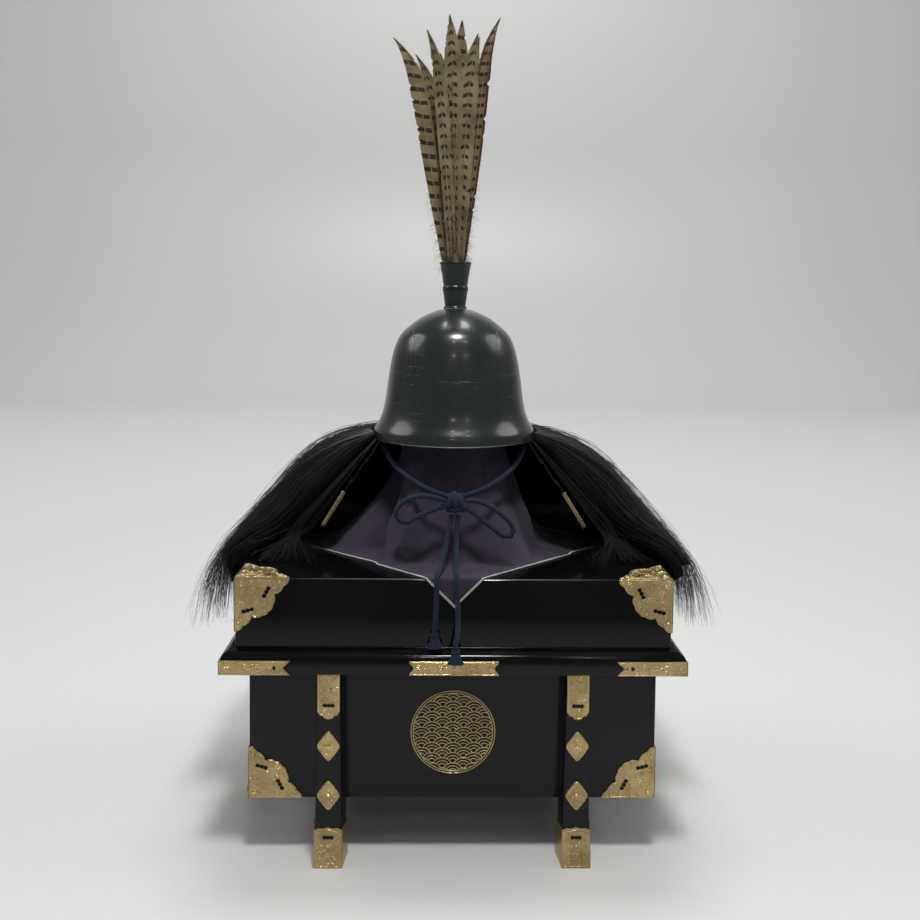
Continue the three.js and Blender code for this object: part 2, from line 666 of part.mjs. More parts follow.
// One column of the cloth's inner face, from the hole for the post out to the hem
function clothColumn(degrees, thickness) {
  const angle = radians(degrees);
  const [east, north] = [Math.sin(angle), -Math.cos(angle)];
  const shoulder = lidTop + shoulderHeight;
  const floor = lidTop + gap + thickness;
  const hem = clothReach / (Math.abs(east) + Math.abs(north));
  const foot = Math.min(foldFoot(degrees), hem - 4 * clothThickness);
  const bend = shoulderRadius + gap + thickness;
  const at = (radius, height) => [radius * east, radius * north, height];
  const column = [
    at(standPostRadius + gap, shoulder + gap + thickness), at(bend, shoulder + gap + thickness),
  ];
  for (const fall of [0.35, 0.75]) {
    const height = shoulder + (floor - shoulder) * fall;
    column.push(at(bend + (foot + thickness - bend) * fall ** 1.6, height));
  }
  column.push(at(foot + thickness, floor));
  const face = lidDepth / 2 + gap + thickness;
  const over = hem * Math.abs(north) - face;
  if (over > -clothOverEdge) {
    const [x, y] = [hem * east, Math.sign(north) * face];
    column.push([x, y, floor], [x, y, floor - Math.max(gap / 3, over)]);
  } else {
    column.push(at((foot + hem) / 2, floor), at(hem, floor));
  }
  return column;
}

function standCloth() {
  const grid = (thickness) => {
    const columns = Array.from({ length: clothColumns }, (_, i) => (
      clothColumn(-180 + (360 * i) / clothColumns, thickness)
    ));
    return columns[0].map((_, row) => columns.map((column) => column[row]));
  };
  add('stand_cloth', wallBetween(grid(clothThickness), grid(0), true), purple);
}

// Cord: hand-chosen points, in millimetres from the middle of the chest and above the floor
const knotCentre = [1, -155, 515];
const chinRoute = [
  [121.9, -24.8, 608], [118.3, -26, 603], [117, -33, 593], [110, -50, 577], [97, -75, 561],
  [78, -101, 548], [55, -125, 537], [32, -141, 529], [13, -148, 524],
];
const leftLoop = [
  [-14.9, -158.5, 519.4], [-34, -165, 526], [-52, -169, 528], [-67, -171, 525], [-81, -172, 516],
  [-88, -172, 504], [-84, -172, 493], [-72, -172, 489], [-58, -170, 495], [-44, -167, 502],
  [-30, -163, 507], [-14.8, -157.6, 510.6],
];
const rightLoop = [
  [17.4, -158.8, 519.4], [34, -164, 520], [51, -168, 514], [67, -171, 504], [81, -173, 492],
  [88, -174, 480], [83, -175, 470], [71, -175, 471], [57, -172, 481], [43, -168, 491],
  [30, -163, 501], [17, -157.8, 508.2],
];
const leftTail = [
  [-4.5, -157.4, 497.9], [-7, -162, 482], [-11, -172, 463], [-15, -186, 446], [-20, -203, 433],
  [-23, -219, 427], [-25, -232.6, 426.6], [-26, -238, 416], [-26, -238, 398], [-27, -238, 370],
  [-28, -238, 344],
];
const rightTail = [
  [5.4, -157.4, 497], [4, -162, 482], [3, -172, 463], [3, -187, 446], [3, -204, 432],
  [3, -219, 427], [3, -232, 426], [3, -238, 416], [4, -239, 392], [5, -244, 364],
  [4, -254, 342], [2, -257, 335], [2, -258, 327],
];

function tube(points, steps) {
  const route = new THREE.CatmullRomCurve3(points.map((point) => new THREE.Vector3(...point)));
  const section = new THREE.Shape();
  for (let i = 0; i < cordSides; i += 1) {
    const turn = (i / cordSides) * 2 * Math.PI;
    const [x, y] = [Math.cos(turn) * cordDiameter / 2, Math.sin(turn) * cordDiameter / 2];
    if (i === 0) section.moveTo(x, y);
    else section.lineTo(x, y);
  }
  return welded(new THREE.ExtrudeGeometry(section, { steps, extrudePath: route, bevelEnabled: false }));
}

// The left half of the chin cord: it starts as far out as the right one, and ends at the knot.
const mirrored = (points) => points.map(([x, y, z]) => [
  2 * knotCentre[0] * (y / knotCentre[1]) - x, y, z,
]);

function knot() {
  const [x, y, z] = knotCentre;
  const rows = [[0, -1], [0.6, -0.85], [0.96, -0.4], [0.98, 0.15], [0.72, 0.72], [0, 1]];
  const flat = 0.82; // the knot is flatter from front to back
  return turned(rows.map(([radius, height]) => [radius * knotRadius, height * knotRadius]), 12)
    .scale(0.9, flat, 1).translate(x, y, z);
}

// A tassel hangs from the end of a cord: a bound head, then strands that spread.
function tassel([x, y, z]) {
  const rows = [[0, 0], [0.4, 0], [0.46, -0.12], [0.42, -0.22], [0.75, -0.5], [1, -1], [0, -1]];
  const rings = rows.slice(1, -1).map(([out, down]) => Array.from({ length: tasselStrands }, (_, i) => {
    const turn = (i / tasselStrands) * 2 * Math.PI;
    const ridge = 1 - (i % 2) * 0.1 * -down;
    const radius = out * ridge * tasselRadius;
    return [x + radius * Math.cos(turn), y + radius * Math.sin(turn) * 0.6, z + down * tasselLength];
  }));
  return loft(rings);
}

function chinCord() {
  add('chin_cord_right', tube(chinRoute, 10), navy);
  add('chin_cord_left', tube(mirrored(chinRoute), 10), navy);
  add('bow_knot', knot(), navy);
  add('bow_loop_left', tube(leftLoop, 14), navy);
  add('bow_loop_right', tube(rightLoop, 14), navy);
  add('cord_tail_left', tube(leftTail, 11), navy);
  add('cord_tail_right', tube(rightTail, 12), navy);
  const below = ([x, y, z]) => [x, y, z - 2.5 * gap];
  add('tassel_left', tassel(below(leftTail.at(-1))), navy);
  add('tassel_right', tassel(below(rightTail.at(-1))), navy);
}

chestBody();
chestLid();
legs();
chestFittings();
bowl();
plumeHolder();
plume();
neckGuard();
neckEdges();
hairCape();
stand();
standCloth();

// The origin is on the floor, in the middle of everything but the cord.
object.updateMatrixWorld(true);
const extent = new THREE.Box3().setFromObject(object);
const middle = extent.getCenter(new THREE.Vector3());
chinCord();
object.position.set(-middle.x, -middle.y, -extent.min.z);

export default object;
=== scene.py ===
"""A kabuto helmet shown on its armour chest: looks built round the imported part."""

import json
import math
import random
from contextlib import contextmanager

import bmesh
import bpy
import numpy as np
from mathutils import Matrix, Vector
from mathutils.geometry import tessellate_polygon
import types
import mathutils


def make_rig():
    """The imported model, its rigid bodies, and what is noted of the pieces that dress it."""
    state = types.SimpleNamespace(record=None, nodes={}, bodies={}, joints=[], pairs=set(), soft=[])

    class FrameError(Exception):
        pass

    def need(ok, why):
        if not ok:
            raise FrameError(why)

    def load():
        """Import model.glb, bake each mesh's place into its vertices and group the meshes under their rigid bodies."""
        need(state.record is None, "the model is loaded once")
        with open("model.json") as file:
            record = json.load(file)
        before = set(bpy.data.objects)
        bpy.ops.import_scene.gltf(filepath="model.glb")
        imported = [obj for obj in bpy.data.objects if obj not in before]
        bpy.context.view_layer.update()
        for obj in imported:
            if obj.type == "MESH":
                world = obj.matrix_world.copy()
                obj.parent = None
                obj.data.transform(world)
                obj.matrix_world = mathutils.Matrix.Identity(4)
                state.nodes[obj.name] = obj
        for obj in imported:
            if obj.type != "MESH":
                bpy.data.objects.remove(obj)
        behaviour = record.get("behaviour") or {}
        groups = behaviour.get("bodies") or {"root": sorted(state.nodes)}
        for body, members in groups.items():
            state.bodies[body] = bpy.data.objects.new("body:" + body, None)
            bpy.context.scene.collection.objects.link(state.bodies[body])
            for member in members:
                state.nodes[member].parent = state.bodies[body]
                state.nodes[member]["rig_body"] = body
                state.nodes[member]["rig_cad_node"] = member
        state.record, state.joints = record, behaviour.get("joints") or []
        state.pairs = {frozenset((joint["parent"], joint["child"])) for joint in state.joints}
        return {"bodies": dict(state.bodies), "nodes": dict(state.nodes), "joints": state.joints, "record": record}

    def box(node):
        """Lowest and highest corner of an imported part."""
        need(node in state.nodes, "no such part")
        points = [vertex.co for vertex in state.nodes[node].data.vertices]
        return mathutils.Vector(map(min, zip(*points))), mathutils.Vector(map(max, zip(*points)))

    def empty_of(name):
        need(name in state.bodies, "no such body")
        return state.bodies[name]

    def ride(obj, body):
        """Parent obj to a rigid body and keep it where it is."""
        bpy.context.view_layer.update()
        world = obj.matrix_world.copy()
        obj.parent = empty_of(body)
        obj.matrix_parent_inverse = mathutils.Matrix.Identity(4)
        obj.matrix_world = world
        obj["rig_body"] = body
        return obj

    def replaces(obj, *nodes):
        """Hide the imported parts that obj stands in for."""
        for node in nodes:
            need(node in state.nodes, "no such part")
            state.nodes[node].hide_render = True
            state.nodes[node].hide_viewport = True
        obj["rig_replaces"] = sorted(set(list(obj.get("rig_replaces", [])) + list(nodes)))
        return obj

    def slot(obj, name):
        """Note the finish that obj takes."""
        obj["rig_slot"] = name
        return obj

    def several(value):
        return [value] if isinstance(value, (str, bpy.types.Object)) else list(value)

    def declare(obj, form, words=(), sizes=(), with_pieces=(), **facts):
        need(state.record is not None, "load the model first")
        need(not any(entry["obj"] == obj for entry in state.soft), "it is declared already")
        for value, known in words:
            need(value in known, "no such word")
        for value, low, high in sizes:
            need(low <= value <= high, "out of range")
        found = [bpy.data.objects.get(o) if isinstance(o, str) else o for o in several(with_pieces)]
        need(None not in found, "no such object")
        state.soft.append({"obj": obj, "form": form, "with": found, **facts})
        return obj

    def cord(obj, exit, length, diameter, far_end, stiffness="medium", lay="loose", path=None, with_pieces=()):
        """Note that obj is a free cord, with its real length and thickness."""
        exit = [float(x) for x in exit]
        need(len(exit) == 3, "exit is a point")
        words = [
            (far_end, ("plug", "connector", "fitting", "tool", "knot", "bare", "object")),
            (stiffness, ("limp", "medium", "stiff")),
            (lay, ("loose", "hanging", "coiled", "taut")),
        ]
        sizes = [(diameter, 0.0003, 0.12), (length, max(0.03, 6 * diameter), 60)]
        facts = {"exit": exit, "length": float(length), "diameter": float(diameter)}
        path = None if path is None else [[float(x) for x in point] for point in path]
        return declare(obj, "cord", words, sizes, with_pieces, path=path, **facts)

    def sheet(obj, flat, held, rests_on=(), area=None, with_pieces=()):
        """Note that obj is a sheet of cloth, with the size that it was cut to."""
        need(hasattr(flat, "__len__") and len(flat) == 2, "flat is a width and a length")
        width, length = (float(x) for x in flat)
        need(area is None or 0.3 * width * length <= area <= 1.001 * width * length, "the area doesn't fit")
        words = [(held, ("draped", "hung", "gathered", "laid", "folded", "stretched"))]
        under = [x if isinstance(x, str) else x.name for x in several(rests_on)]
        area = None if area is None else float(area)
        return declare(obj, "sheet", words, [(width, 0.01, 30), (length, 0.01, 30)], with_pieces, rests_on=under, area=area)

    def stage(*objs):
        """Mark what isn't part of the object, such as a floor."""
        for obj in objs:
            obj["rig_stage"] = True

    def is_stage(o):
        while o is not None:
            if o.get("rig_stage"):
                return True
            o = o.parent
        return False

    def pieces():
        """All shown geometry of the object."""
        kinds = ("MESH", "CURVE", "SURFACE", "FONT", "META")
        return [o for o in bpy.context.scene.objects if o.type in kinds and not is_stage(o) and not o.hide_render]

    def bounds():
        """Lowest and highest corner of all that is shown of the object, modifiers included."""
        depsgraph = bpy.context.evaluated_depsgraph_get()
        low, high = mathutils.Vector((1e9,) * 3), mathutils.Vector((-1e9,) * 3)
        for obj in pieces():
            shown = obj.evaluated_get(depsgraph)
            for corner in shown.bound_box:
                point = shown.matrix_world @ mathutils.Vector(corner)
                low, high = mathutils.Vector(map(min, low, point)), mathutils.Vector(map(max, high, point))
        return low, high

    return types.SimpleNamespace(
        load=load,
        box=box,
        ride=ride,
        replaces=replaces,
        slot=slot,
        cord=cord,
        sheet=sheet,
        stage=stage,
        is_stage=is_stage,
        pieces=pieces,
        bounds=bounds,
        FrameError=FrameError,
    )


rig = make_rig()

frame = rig.load()
cad_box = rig.bounds()

# Millimetres from the middle of the chest on the floor, turned to metres in the row frame by at()
MM = 0.001
chest_low, chest_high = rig.box("chest_body")
MIDDLE_Y = (chest_low[1] + chest_high[1]) / 2
GAP = 0.3
RIM, BOWL_RADIUS, BOWL_HEIGHT, BOWL_WALL = 595.0, 135.0, 213.0, 3.0
CROWN = RIM + BOWL_HEIGHT
LID_TOP, LID_WIDTH, LID_DEPTH = 418.0, 633.0, 454.0
FLANGE_BOTTOM, FLANGE_BAND = 283.0, 21.0
FLANGE_WIDTH, FLANGE_DEPTH = 671.0, 492.0
BODY_WIDTH, BODY_DEPTH, BODY_BOTTOM = 599.0, 420.0, 85.0
CORNER = 78.0


def length_along(path):
    """Length from the start of a path to each of its points."""
    return np.concatenate([[0], np.cumsum(np.linalg.norm(np.diff(path, axis=0), axis=1))])


def pick(path, places, spots):
    """A path's points at some spots, from the place of each of its own points."""
    return np.stack([np.interp(spots, places, side) for side in np.asarray(path).T], axis=1)


def unit(vectors, least=1e-9):
    return vectors / np.maximum(least, np.linalg.norm(vectors, axis=1))[:, None]


def placed(name, data):
    """A new object in the scene."""
    obj = bpy.data.objects.new(name, data)
    bpy.context.scene.collection.objects.link(obj)
    return obj


@contextmanager
def reworked(obj):
    """Opens an object's mesh for changes, and puts it back."""
    work = bmesh.new()
    work.from_mesh(obj.data)
    yield work
    work.to_mesh(obj.data)
    work.free()


def merge(obj, distance=0.02 * MM):
    """Joins points that lie together and turns every face out."""
    with reworked(obj) as work:
        bmesh.ops.remove_doubles(work, verts=work.verts, dist=distance)
        bmesh.ops.dissolve_degenerate(work, dist=distance * 0.5, edges=work.edges)
        bmesh.ops.recalc_face_normals(work, faces=work.faces)
    return obj


def smooth_by_angle(obj, degrees):
    """Smooth shading, with creases where faces meet at more than this angle."""
    with reworked(obj) as work:
        for edge in work.edges:
            if len(edge.link_faces) == 2:
                edge.smooth = edge.calc_face_angle() < math.radians(degrees)
        for face in work.faces:
            face.smooth = True
    return obj


def set_floats(mesh, name, values):
    """One number for each point of a mesh, for its look or its node tree."""
    layer = mesh.attributes.new(name, "FLOAT", "POINT")
    layer.data.foreach_set("value", np.ascontiguousarray(values, dtype=float).ravel())


def at(points):
    """Turns millimetres from the chest's middle into metres in the row frame."""
    return np.asarray(points, float) * MM + (0, MIDDLE_Y, 0)


def dress(obj, slot, *nodes):
    """Sets a piece on the part: what it rides on, its finish and the plain solids it stands for."""
    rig.ride(obj, "root")
    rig.slot(obj, slot)
    if nodes:
        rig.replaces(obj, *nodes)
    return obj


def piece(name, points, faces, look, uv=None, smooth=True):
    """A mesh object from points in millimetres; uv has one pair for each corner of each face."""
    mesh = bpy.data.meshes.new(name)
    mesh.from_pydata(at(points).tolist(), [], [tuple(face) for face in faces])
    if uv is not None:
        layer = mesh.uv_layers.new(name="UVMap")
        layer.data.foreach_set("uv", np.asarray(uv, float).ravel())
    mesh.polygons.foreach_set("use_smooth", [smooth] * len(mesh.polygons))
    mesh.materials.append(look)
    return placed(name, mesh)


def ring_faces(rings, wide):
    """Quads between rings of points kept ring by ring, with a u, v pair for each corner."""
    faces, uv = [], []
    for r in range(rings - 1):
        low, high = r * wide, (r + 1) * wide
        v, h = r / (rings - 1), (r + 1) / (rings - 1)
        for c in range(wide):
            d = (c + 1) % wide
            faces.append([low + c, low + d, high + d, high + c])
            u, w = c / wide, (c + 1) / wide
            uv += [(u, v), (w, v), (w, h), (u, h)]
    return faces, uv


def tube_faces(rings, wide):
    """The same, with a flat face at each end."""
    faces, uv = ring_faces(rings, wide)
    last = (rings - 1) * wide
    faces += [list(range(wide))[::-1], list(range(last, last + wide))]
    return faces, uv + [(0, 0)] * (2 * wide)


def swept(name, rings, look, distance=0.02 * MM):
    """A closed solid through rings of equal point counts, with both ends shut."""
    rings = np.asarray(rings, float)
    faces, uv = tube_faces(*rings.shape[:2])
    return merge(piece(name, rings.reshape(-1, 3), faces, look, uv), distance)


def joined(parts):
    """Several sets of points and faces as one."""
    points, faces = [], []
    for made, ring in parts:
        faces += [[i + len(points) for i in face] for face in ring]
        points += np.asarray(made).tolist()
    return points, faces


def turned(name, profile, sides, look):
    """Turns a closed profile of radius and height round the middle of the helmet."""
    profile = np.asarray(profile, float)
    round_points = polar(profile[:, :1], round_turn(sides))
    heights = np.repeat(profile[:, 1:], sides, axis=1)[..., None]
    faces, uv = ring_faces(len(profile), sides)
    points = np.concatenate([round_points, heights], axis=-1).reshape(-1, 3)
    return merge(piece(name, points, faces, look, uv))


def spline(points, spacing):
    """Evenly spaced points of a smooth curve through the given ones."""
    points = np.asarray(points, float)
    points = np.vstack([2 * points[0] - points[1], points, 2 * points[-1] - points[-2]])
    fine = []
    for k in range(1, len(points) - 2):
        near = points[k - 1:k + 3]
        t = np.concatenate([[0], np.cumsum(np.linalg.norm(np.diff(near, axis=0), axis=1) ** 0.5)])
        for s in np.linspace(t[1], t[2], 24, endpoint=False):
            level = list(near)
            for spans in (((0, 1), (1, 2), (2, 3)), ((0, 2), (1, 3)), ((1, 2),)):
                level = [(t[j] - s) / (t[j] - t[i]) * a + (s - t[i]) / (t[j] - t[i]) * b
                         for (i, j), a, b in zip(spans, level, level[1:])]
            fine.append(level[0])
    fine = np.vstack([fine, points[-2]])
    run = length_along(fine)
    return pick(fine, run, np.linspace(0, run[-1], max(3, int(round(run[-1] / spacing)) + 1)))


def sides_of(path):
    """Two directions across a path at each of its points, carried along it without a twist."""
    ahead = unit(np.gradient(path, axis=0))
    across = np.cross(ahead[0], (0.3, 0.2, 1.0))
    firsts = []
    for direction in ahead:
        across = across - direction * across.dot(direction)
        across /= np.linalg.norm(across)
        firsts.append(across)
    firsts = np.array(firsts)
    return firsts, np.cross(ahead, firsts)


def polar(radius, turn):
    return np.stack([radius * np.cos(turn), radius * np.sin(turn)], axis=-1)


def round_turn(count):
    return np.linspace(0, 2 * math.pi, count, endpoint=False)


def left_of(way):
    return np.stack([-way[:, 1], way[:, 0]], axis=1)


def smooth_step(low, high, value):
    share = np.clip((value - low) / (high - low), 0, 1)
    return share * share * (3 - 2 * share)


def tinted(colour, share):
    return tuple(min(1, part * share) for part in colour)


# Looks: node materials, on object coordinates, UVs or attributes
class Look:
    """One material's node tree, written with short calls."""

    def __init__(self, name, colour=(0.5, 0.5, 0.5), roughness=0.5, metallic=0.0, **sockets):
        self.material = bpy.data.materials.new(name)
        self.material.use_nodes = True
        self.tree = self.material.node_tree
        self.shader = self.tree.nodes["Principled BSDF"]
        sockets.update(Base_Color=(*colour, 1), Roughness=roughness, Metallic=metallic)
        for key, value in sockets.items():
            self.shader.inputs[key.replace("_", " ")].default_value = value
        self.place = self.add("TexCoord", out="Object")
        self.uv = self.add("TexCoord", out="UV")

    def add(self, kind, inputs=None, out=0, **settings):
        node = self.tree.nodes.new("ShaderNode" + kind)
        for key, value in settings.items():
            setattr(node, key, value)
        for key, value in (inputs or {}).items():
            if isinstance(value, bpy.types.NodeSocket):
                self.tree.links.new(value, node.inputs[key])
            else:
                node.inputs[key].default_value = value
        return node.outputs[out]

    def maths(self, operation, a, b=0.0):
        return self.add("Math", {0: a, 1: b}, operation=operation)

    def times(self, a, b):
        return self.maths("MULTIPLY", a, b)

    def plus(self, a, b):
        return self.maths("ADD", a, b)

    def minus(self, a, b):
        return self.maths("SUBTRACT", a, b)

    def size(self, a):
        return self.maths("ABSOLUTE", a)

    def sine(self, a):
        return self.maths("SINE", a)

    def noise(self, scale, detail=4.0, where=None, distortion=0.0):
        return self.add("TexNoise", {
            "Vector": where or self.place, "Scale": scale, "Detail": detail, "Distortion": distortion})

    def ramp(self, value, low, high, to_low=0.0, to_high=1.0):
        return self.add("MapRange", {
            "Value": value, "From Min": low, "From Max": high, "To Min": to_low, "To Max": to_high},
            interpolation_type="SMOOTHSTEP")

    def blend(self, factor, a, b):
        four = [value if isinstance(value, bpy.types.NodeSocket) else (*value, 1) for value in (a, b)]
        return self.add("Mix", {0: factor, 6: four[0], 7: four[1]}, out=2, data_type="RGBA")

    def stretch(self, where, scale):
        return self.add("Mapping", {"Vector": where, "Scale": scale})

    def tone(self, name):
        """The number that each point of the piece carries under this name."""
        return self.add("Attribute", out="Fac", attribute_name=name)

    def parts(self, where):
        node = self.tree.nodes.new("ShaderNodeSeparateXYZ")
        self.tree.links.new(where, node.inputs[0])
        return node.outputs

    def line(self, distance, half):
        """One on a line, nought beyond half a width from it; distance may have either sign."""
        return self.ramp(self.size(distance), half, half * 0.2)

    def set(self, **values):
        for key, value in values.items():
            self.tree.links.new(value, self.shader.inputs[key.replace("_", " ")])

    def bump(self, height, distance, strength=1.0):
        """Raises the surface by a height, and gives the finished material."""
        self.set(Normal=self.add("Bump", {
            "Height": height, "Distance": distance, "Strength": strength}))
        return self.material


def black_lacquer_look():
    look = Look("black_lacquer", roughness=0.14, Coat_Weight=0.1, Coat_Roughness=0.03,
                Specular_IOR_Level=0.22)
    cloudy = look.noise(7.0, 5.0)
    dust = look.times(look.ramp(look.noise(900.0, 2.0), 0.69, 0.78), 0.35)
    black = look.blend(cloudy, (0.0016, 0.0016, 0.0019), (0.0034, 0.0034, 0.004))
    look.set(Base_Color=look.blend(dust, black, (0.08, 0.08, 0.085)),
             Roughness=look.ramp(cloudy, 0.3, 0.7, 0.11, 0.2))
    return look.bump(look.noise(28.0, 2.0), 0.0004, 0.25)


def gilt_look(name="gilt_metal", colour=(0.52, 0.4, 0.19), roughness=0.36, stippled=1.0):
    """Gilt brass, a little duller in places, with a stippled ground between the scrolls whose pits are painted darker,
    as painted shade.
    """
    look = Look(name, colour, roughness, 1.0)
    tone = look.noise(24.0, 6.0)
    dots = look.add("TexVoronoi", {"Vector": look.place, "Scale": 620.0}, out="Distance")
    # Painted shade: the stippled pits are coloured darker than the gilt around them
    pit_shade = look.times(look.ramp(dots, 0.45, 0.15, 0.0, 0.8), stippled)
    worn = look.blend(look.ramp(tone, 0.35, 0.62), tinted(colour, 0.78), colour)
    look.set(Base_Color=look.blend(pit_shade, worn, tinted(colour, 0.35)),
             Roughness=look.ramp(tone, 0.3, 0.7, roughness + 0.08, roughness - 0.08))
    return look.bump(look.ramp(dots, 0.1, 0.5), 0.0003, 0.25 + 0.65 * stippled)


def helmet_look():
    """Grey lacquer over iron plates: thin seams, a pale metallic band along the rim's lower edge that is a painted
    highlight for its rounded lip, light scratches.
    """
    look = Look("grey_lacquer", roughness=0.25, Coat_Weight=0.3, Coat_Roughness=0.1)
    x, _, z = look.parts(look.place)
    side = look.size(x)
    upright = look.times(look.line(look.minus(side, 0.066), 0.0009), look.ramp(z, 0.7045, 0.7055))
    level = look.times(look.line(look.minus(z, 0.705), 0.0009), look.ramp(side, 0.0655, 0.0665))
    brow = look.times(look.line(look.minus(z, 0.6955), 0.0011), look.ramp(side, 0.056, 0.05))
    seams = look.maths("MAXIMUM", upright, look.maths("MAXIMUM", level, brow))
    cloudy = look.noise(16.0, 6.0)
    streaks = look.noise(9.0, 3.0, look.stretch(look.place, (4.0, 4.0, 60.0)), 0.6)
    scratch = look.times(look.ramp(streaks, 0.66, 0.7), look.ramp(look.noise(14.0, 1.0), 0.5, 0.6))
    # Painted highlight: the rim's lowest two millimetres are coloured pale grey metal
    rim = look.ramp(z, 0.5972, 0.5965)
    grey = look.blend(cloudy, (0.011, 0.0135, 0.0145), (0.021, 0.0245, 0.026))
    worn = look.blend(look.times(scratch, 0.5), grey, (0.16, 0.17, 0.17))
    lined = look.blend(seams, worn, (0.006, 0.006, 0.007))
    look.set(Base_Color=look.blend(rim, lined, (0.35, 0.35, 0.34)), Metallic=look.times(rim, 0.9),
             Roughness=look.plus(look.ramp(cloudy, 0.3, 0.7, 0.2, 0.3), look.times(scratch, 0.2)))
    return look.bump(look.minus(look.times(cloudy, 0.3), seams), 0.0008, 0.8)


def socket_look():
    look = Look("socket_metal", roughness=0.4, metallic=0.5, Coat_Weight=0.2)
    tone = look.noise(60.0, 5.0)
    look.set(Base_Color=look.blend(tone, (0.006, 0.011, 0.009), (0.02, 0.03, 0.026)),
             Roughness=look.ramp(tone, 0.3, 0.7, 0.32, 0.5))
    return look.bump(tone, 0.0004, 0.5)


def cord_look():
    """Silk braid: v runs along the cord and u round it; the hollows between its strands are painted dark and their
    crests painted lighter, as painted shade.
    """
    colour = (0.009, 0.015, 0.034)
    look = Look("navy_cord", colour, 0.75, Sheen_Weight=0.06, Sheen_Roughness=0.4,
                Specular_IOR_Level=0.3)
    u, v, _ = look.parts(look.uv)
    thread = look.sine(look.times(look.plus(v, u), 600.0))
    # Painted shade: the relief darkens the braid's hollows and lightens its raised crests
    strand = look.blend(look.tone("relief"), tinted(colour, 0.12), tinted(colour, 1.7))
    faded = look.ramp(look.noise(500.0, 2.0), 0.4, 0.7, 0.0, 0.35)
    look.set(Base_Color=look.blend(faded, strand, colour))
    return look.bump(thread, 0.0003, 0.35)


def thread_look(name, low, high, roughness=0.6, **sockets):
    """Loose threads, hair or barbs: each strand keeps its own tone."""
    look = Look(name, high, roughness, **sockets)
    mixed = look.plus(look.times(look.tone("tone"), 0.75), look.times(look.noise(120.0, 3.0), 0.25))
    look.set(Base_Color=look.blend(mixed, low, high))
    return look.material


def cloth_look(name, low, high):
    """Plain weave that follows the cloth's own u and v, in thread crossings."""
    look = Look(name, high, 0.9, Sheen_Weight=0.08, Sheen_Roughness=0.5, Specular_IOR_Level=0.2)
    u, v, _ = look.parts(look.uv)
    warp, weft = (look.sine(look.times(way, 2600.0)) for way in (u, v))
    slub = look.noise(60.0, 4.0, look.stretch(look.uv, (1.0, 14.0, 1.0)))
    mixed = look.plus(look.times(slub, 0.4), look.times(look.noise(9.0, 4.0), 0.6))
    look.set(Base_Color=look.blend(look.ramp(mixed, 0.35, 0.65), low, high))
    return look.bump(look.times(warp, weft), 0.0002, 0.5)


def wood_look():
    look = Look("stand_wood", roughness=0.55)
    rings = look.noise(8.0, 6.0, look.stretch(look.place, (12.0, 12.0, 1.5)), 1.5)
    look.set(Base_Color=look.blend(look.ramp(rings, 0.35, 0.65), (0.09, 0.05, 0.025), (0.2, 0.12, 0.06)))
    return look.bump(rings, 0.0005, 0.3)


def noisy_look(name, colour, roughness, scale, detail, low, high):
    """One plain tone that drifts a little into another."""
    look = Look(name, colour, roughness)
    look.set(Base_Color=look.blend(look.noise(scale, detail), low, high))
    return look.material


def feather_look(name, ground, pale, bar, pitch, slant, share, reach, edge=None):
    """Pheasant tail: bars that reach so far across the vane on one side and less on the other. u is
    nought on the shaft and one at the vane's edge."""
    look = Look(name, ground, 0.7, Specular_IOR_Level=0.2)
    u, v, _ = look.parts(look.uv)
    across = look.size(u)
    shaken = look.plus(v, look.times(look.noise(55.0, 3.0), 0.006))
    wave = look.sine(look.plus(look.times(shaken, 2 * math.pi / pitch), look.times(across, slant)))
    far = look.plus(across, look.times(u, 0.16))
    bars = look.times(look.ramp(wave, share, share + 0.22), look.ramp(far, reach + 0.1, reach - 0.1))
    fringe = look.ramp(look.size(look.minus(wave, share - 0.1)), 0.3, 0.05)
    barbs = look.sine(look.times(look.plus(v, look.times(across, -0.012)), 5200.0))
    soft = look.blend(look.ramp(look.noise(30.0, 5.0), 0.3, 0.7), ground, pale)
    soft = look.blend(look.times(fringe, 0.3), soft, pale)
    if edge:
        soft = look.blend(look.ramp(across, 0.45, 0.85), soft, edge)
    look.set(Base_Color=look.blend(look.times(bars, 0.93), soft, bar))
    return look.bump(barbs, 0.0003, 0.4)


# Camera and light
def camera():
    data = bpy.data.cameras.new("photo_camera")
    data.sensor_width, data.lens, data.shift_y = 36.0, 38.78, -0.104
    data.clip_end = 100.0
    obj = placed("photo_camera", data)
    place = Matrix.Translation((-0.024, -1.64 + MIDDLE_Y, 0.812))
    for degrees, axis in ((-1.15, "Z"), (90 - 3.34, "X"), (0.6, "Z")):
        place = place @ Matrix.Rotation(math.radians(degrees), 4, axis)
    obj.matrix_world = place
    bpy.context.scene.camera = obj


def lamp(name, place, target, size, power):
    data = bpy.data.lights.new(name, "AREA")
    data.shape, data.size, data.energy = "DISK", size, power
    obj = placed(name, data)
    obj.location = place
    obj.rotation_euler = (Vector(target) - Vector(place)).to_track_quat("-Z", "Y").to_euler()


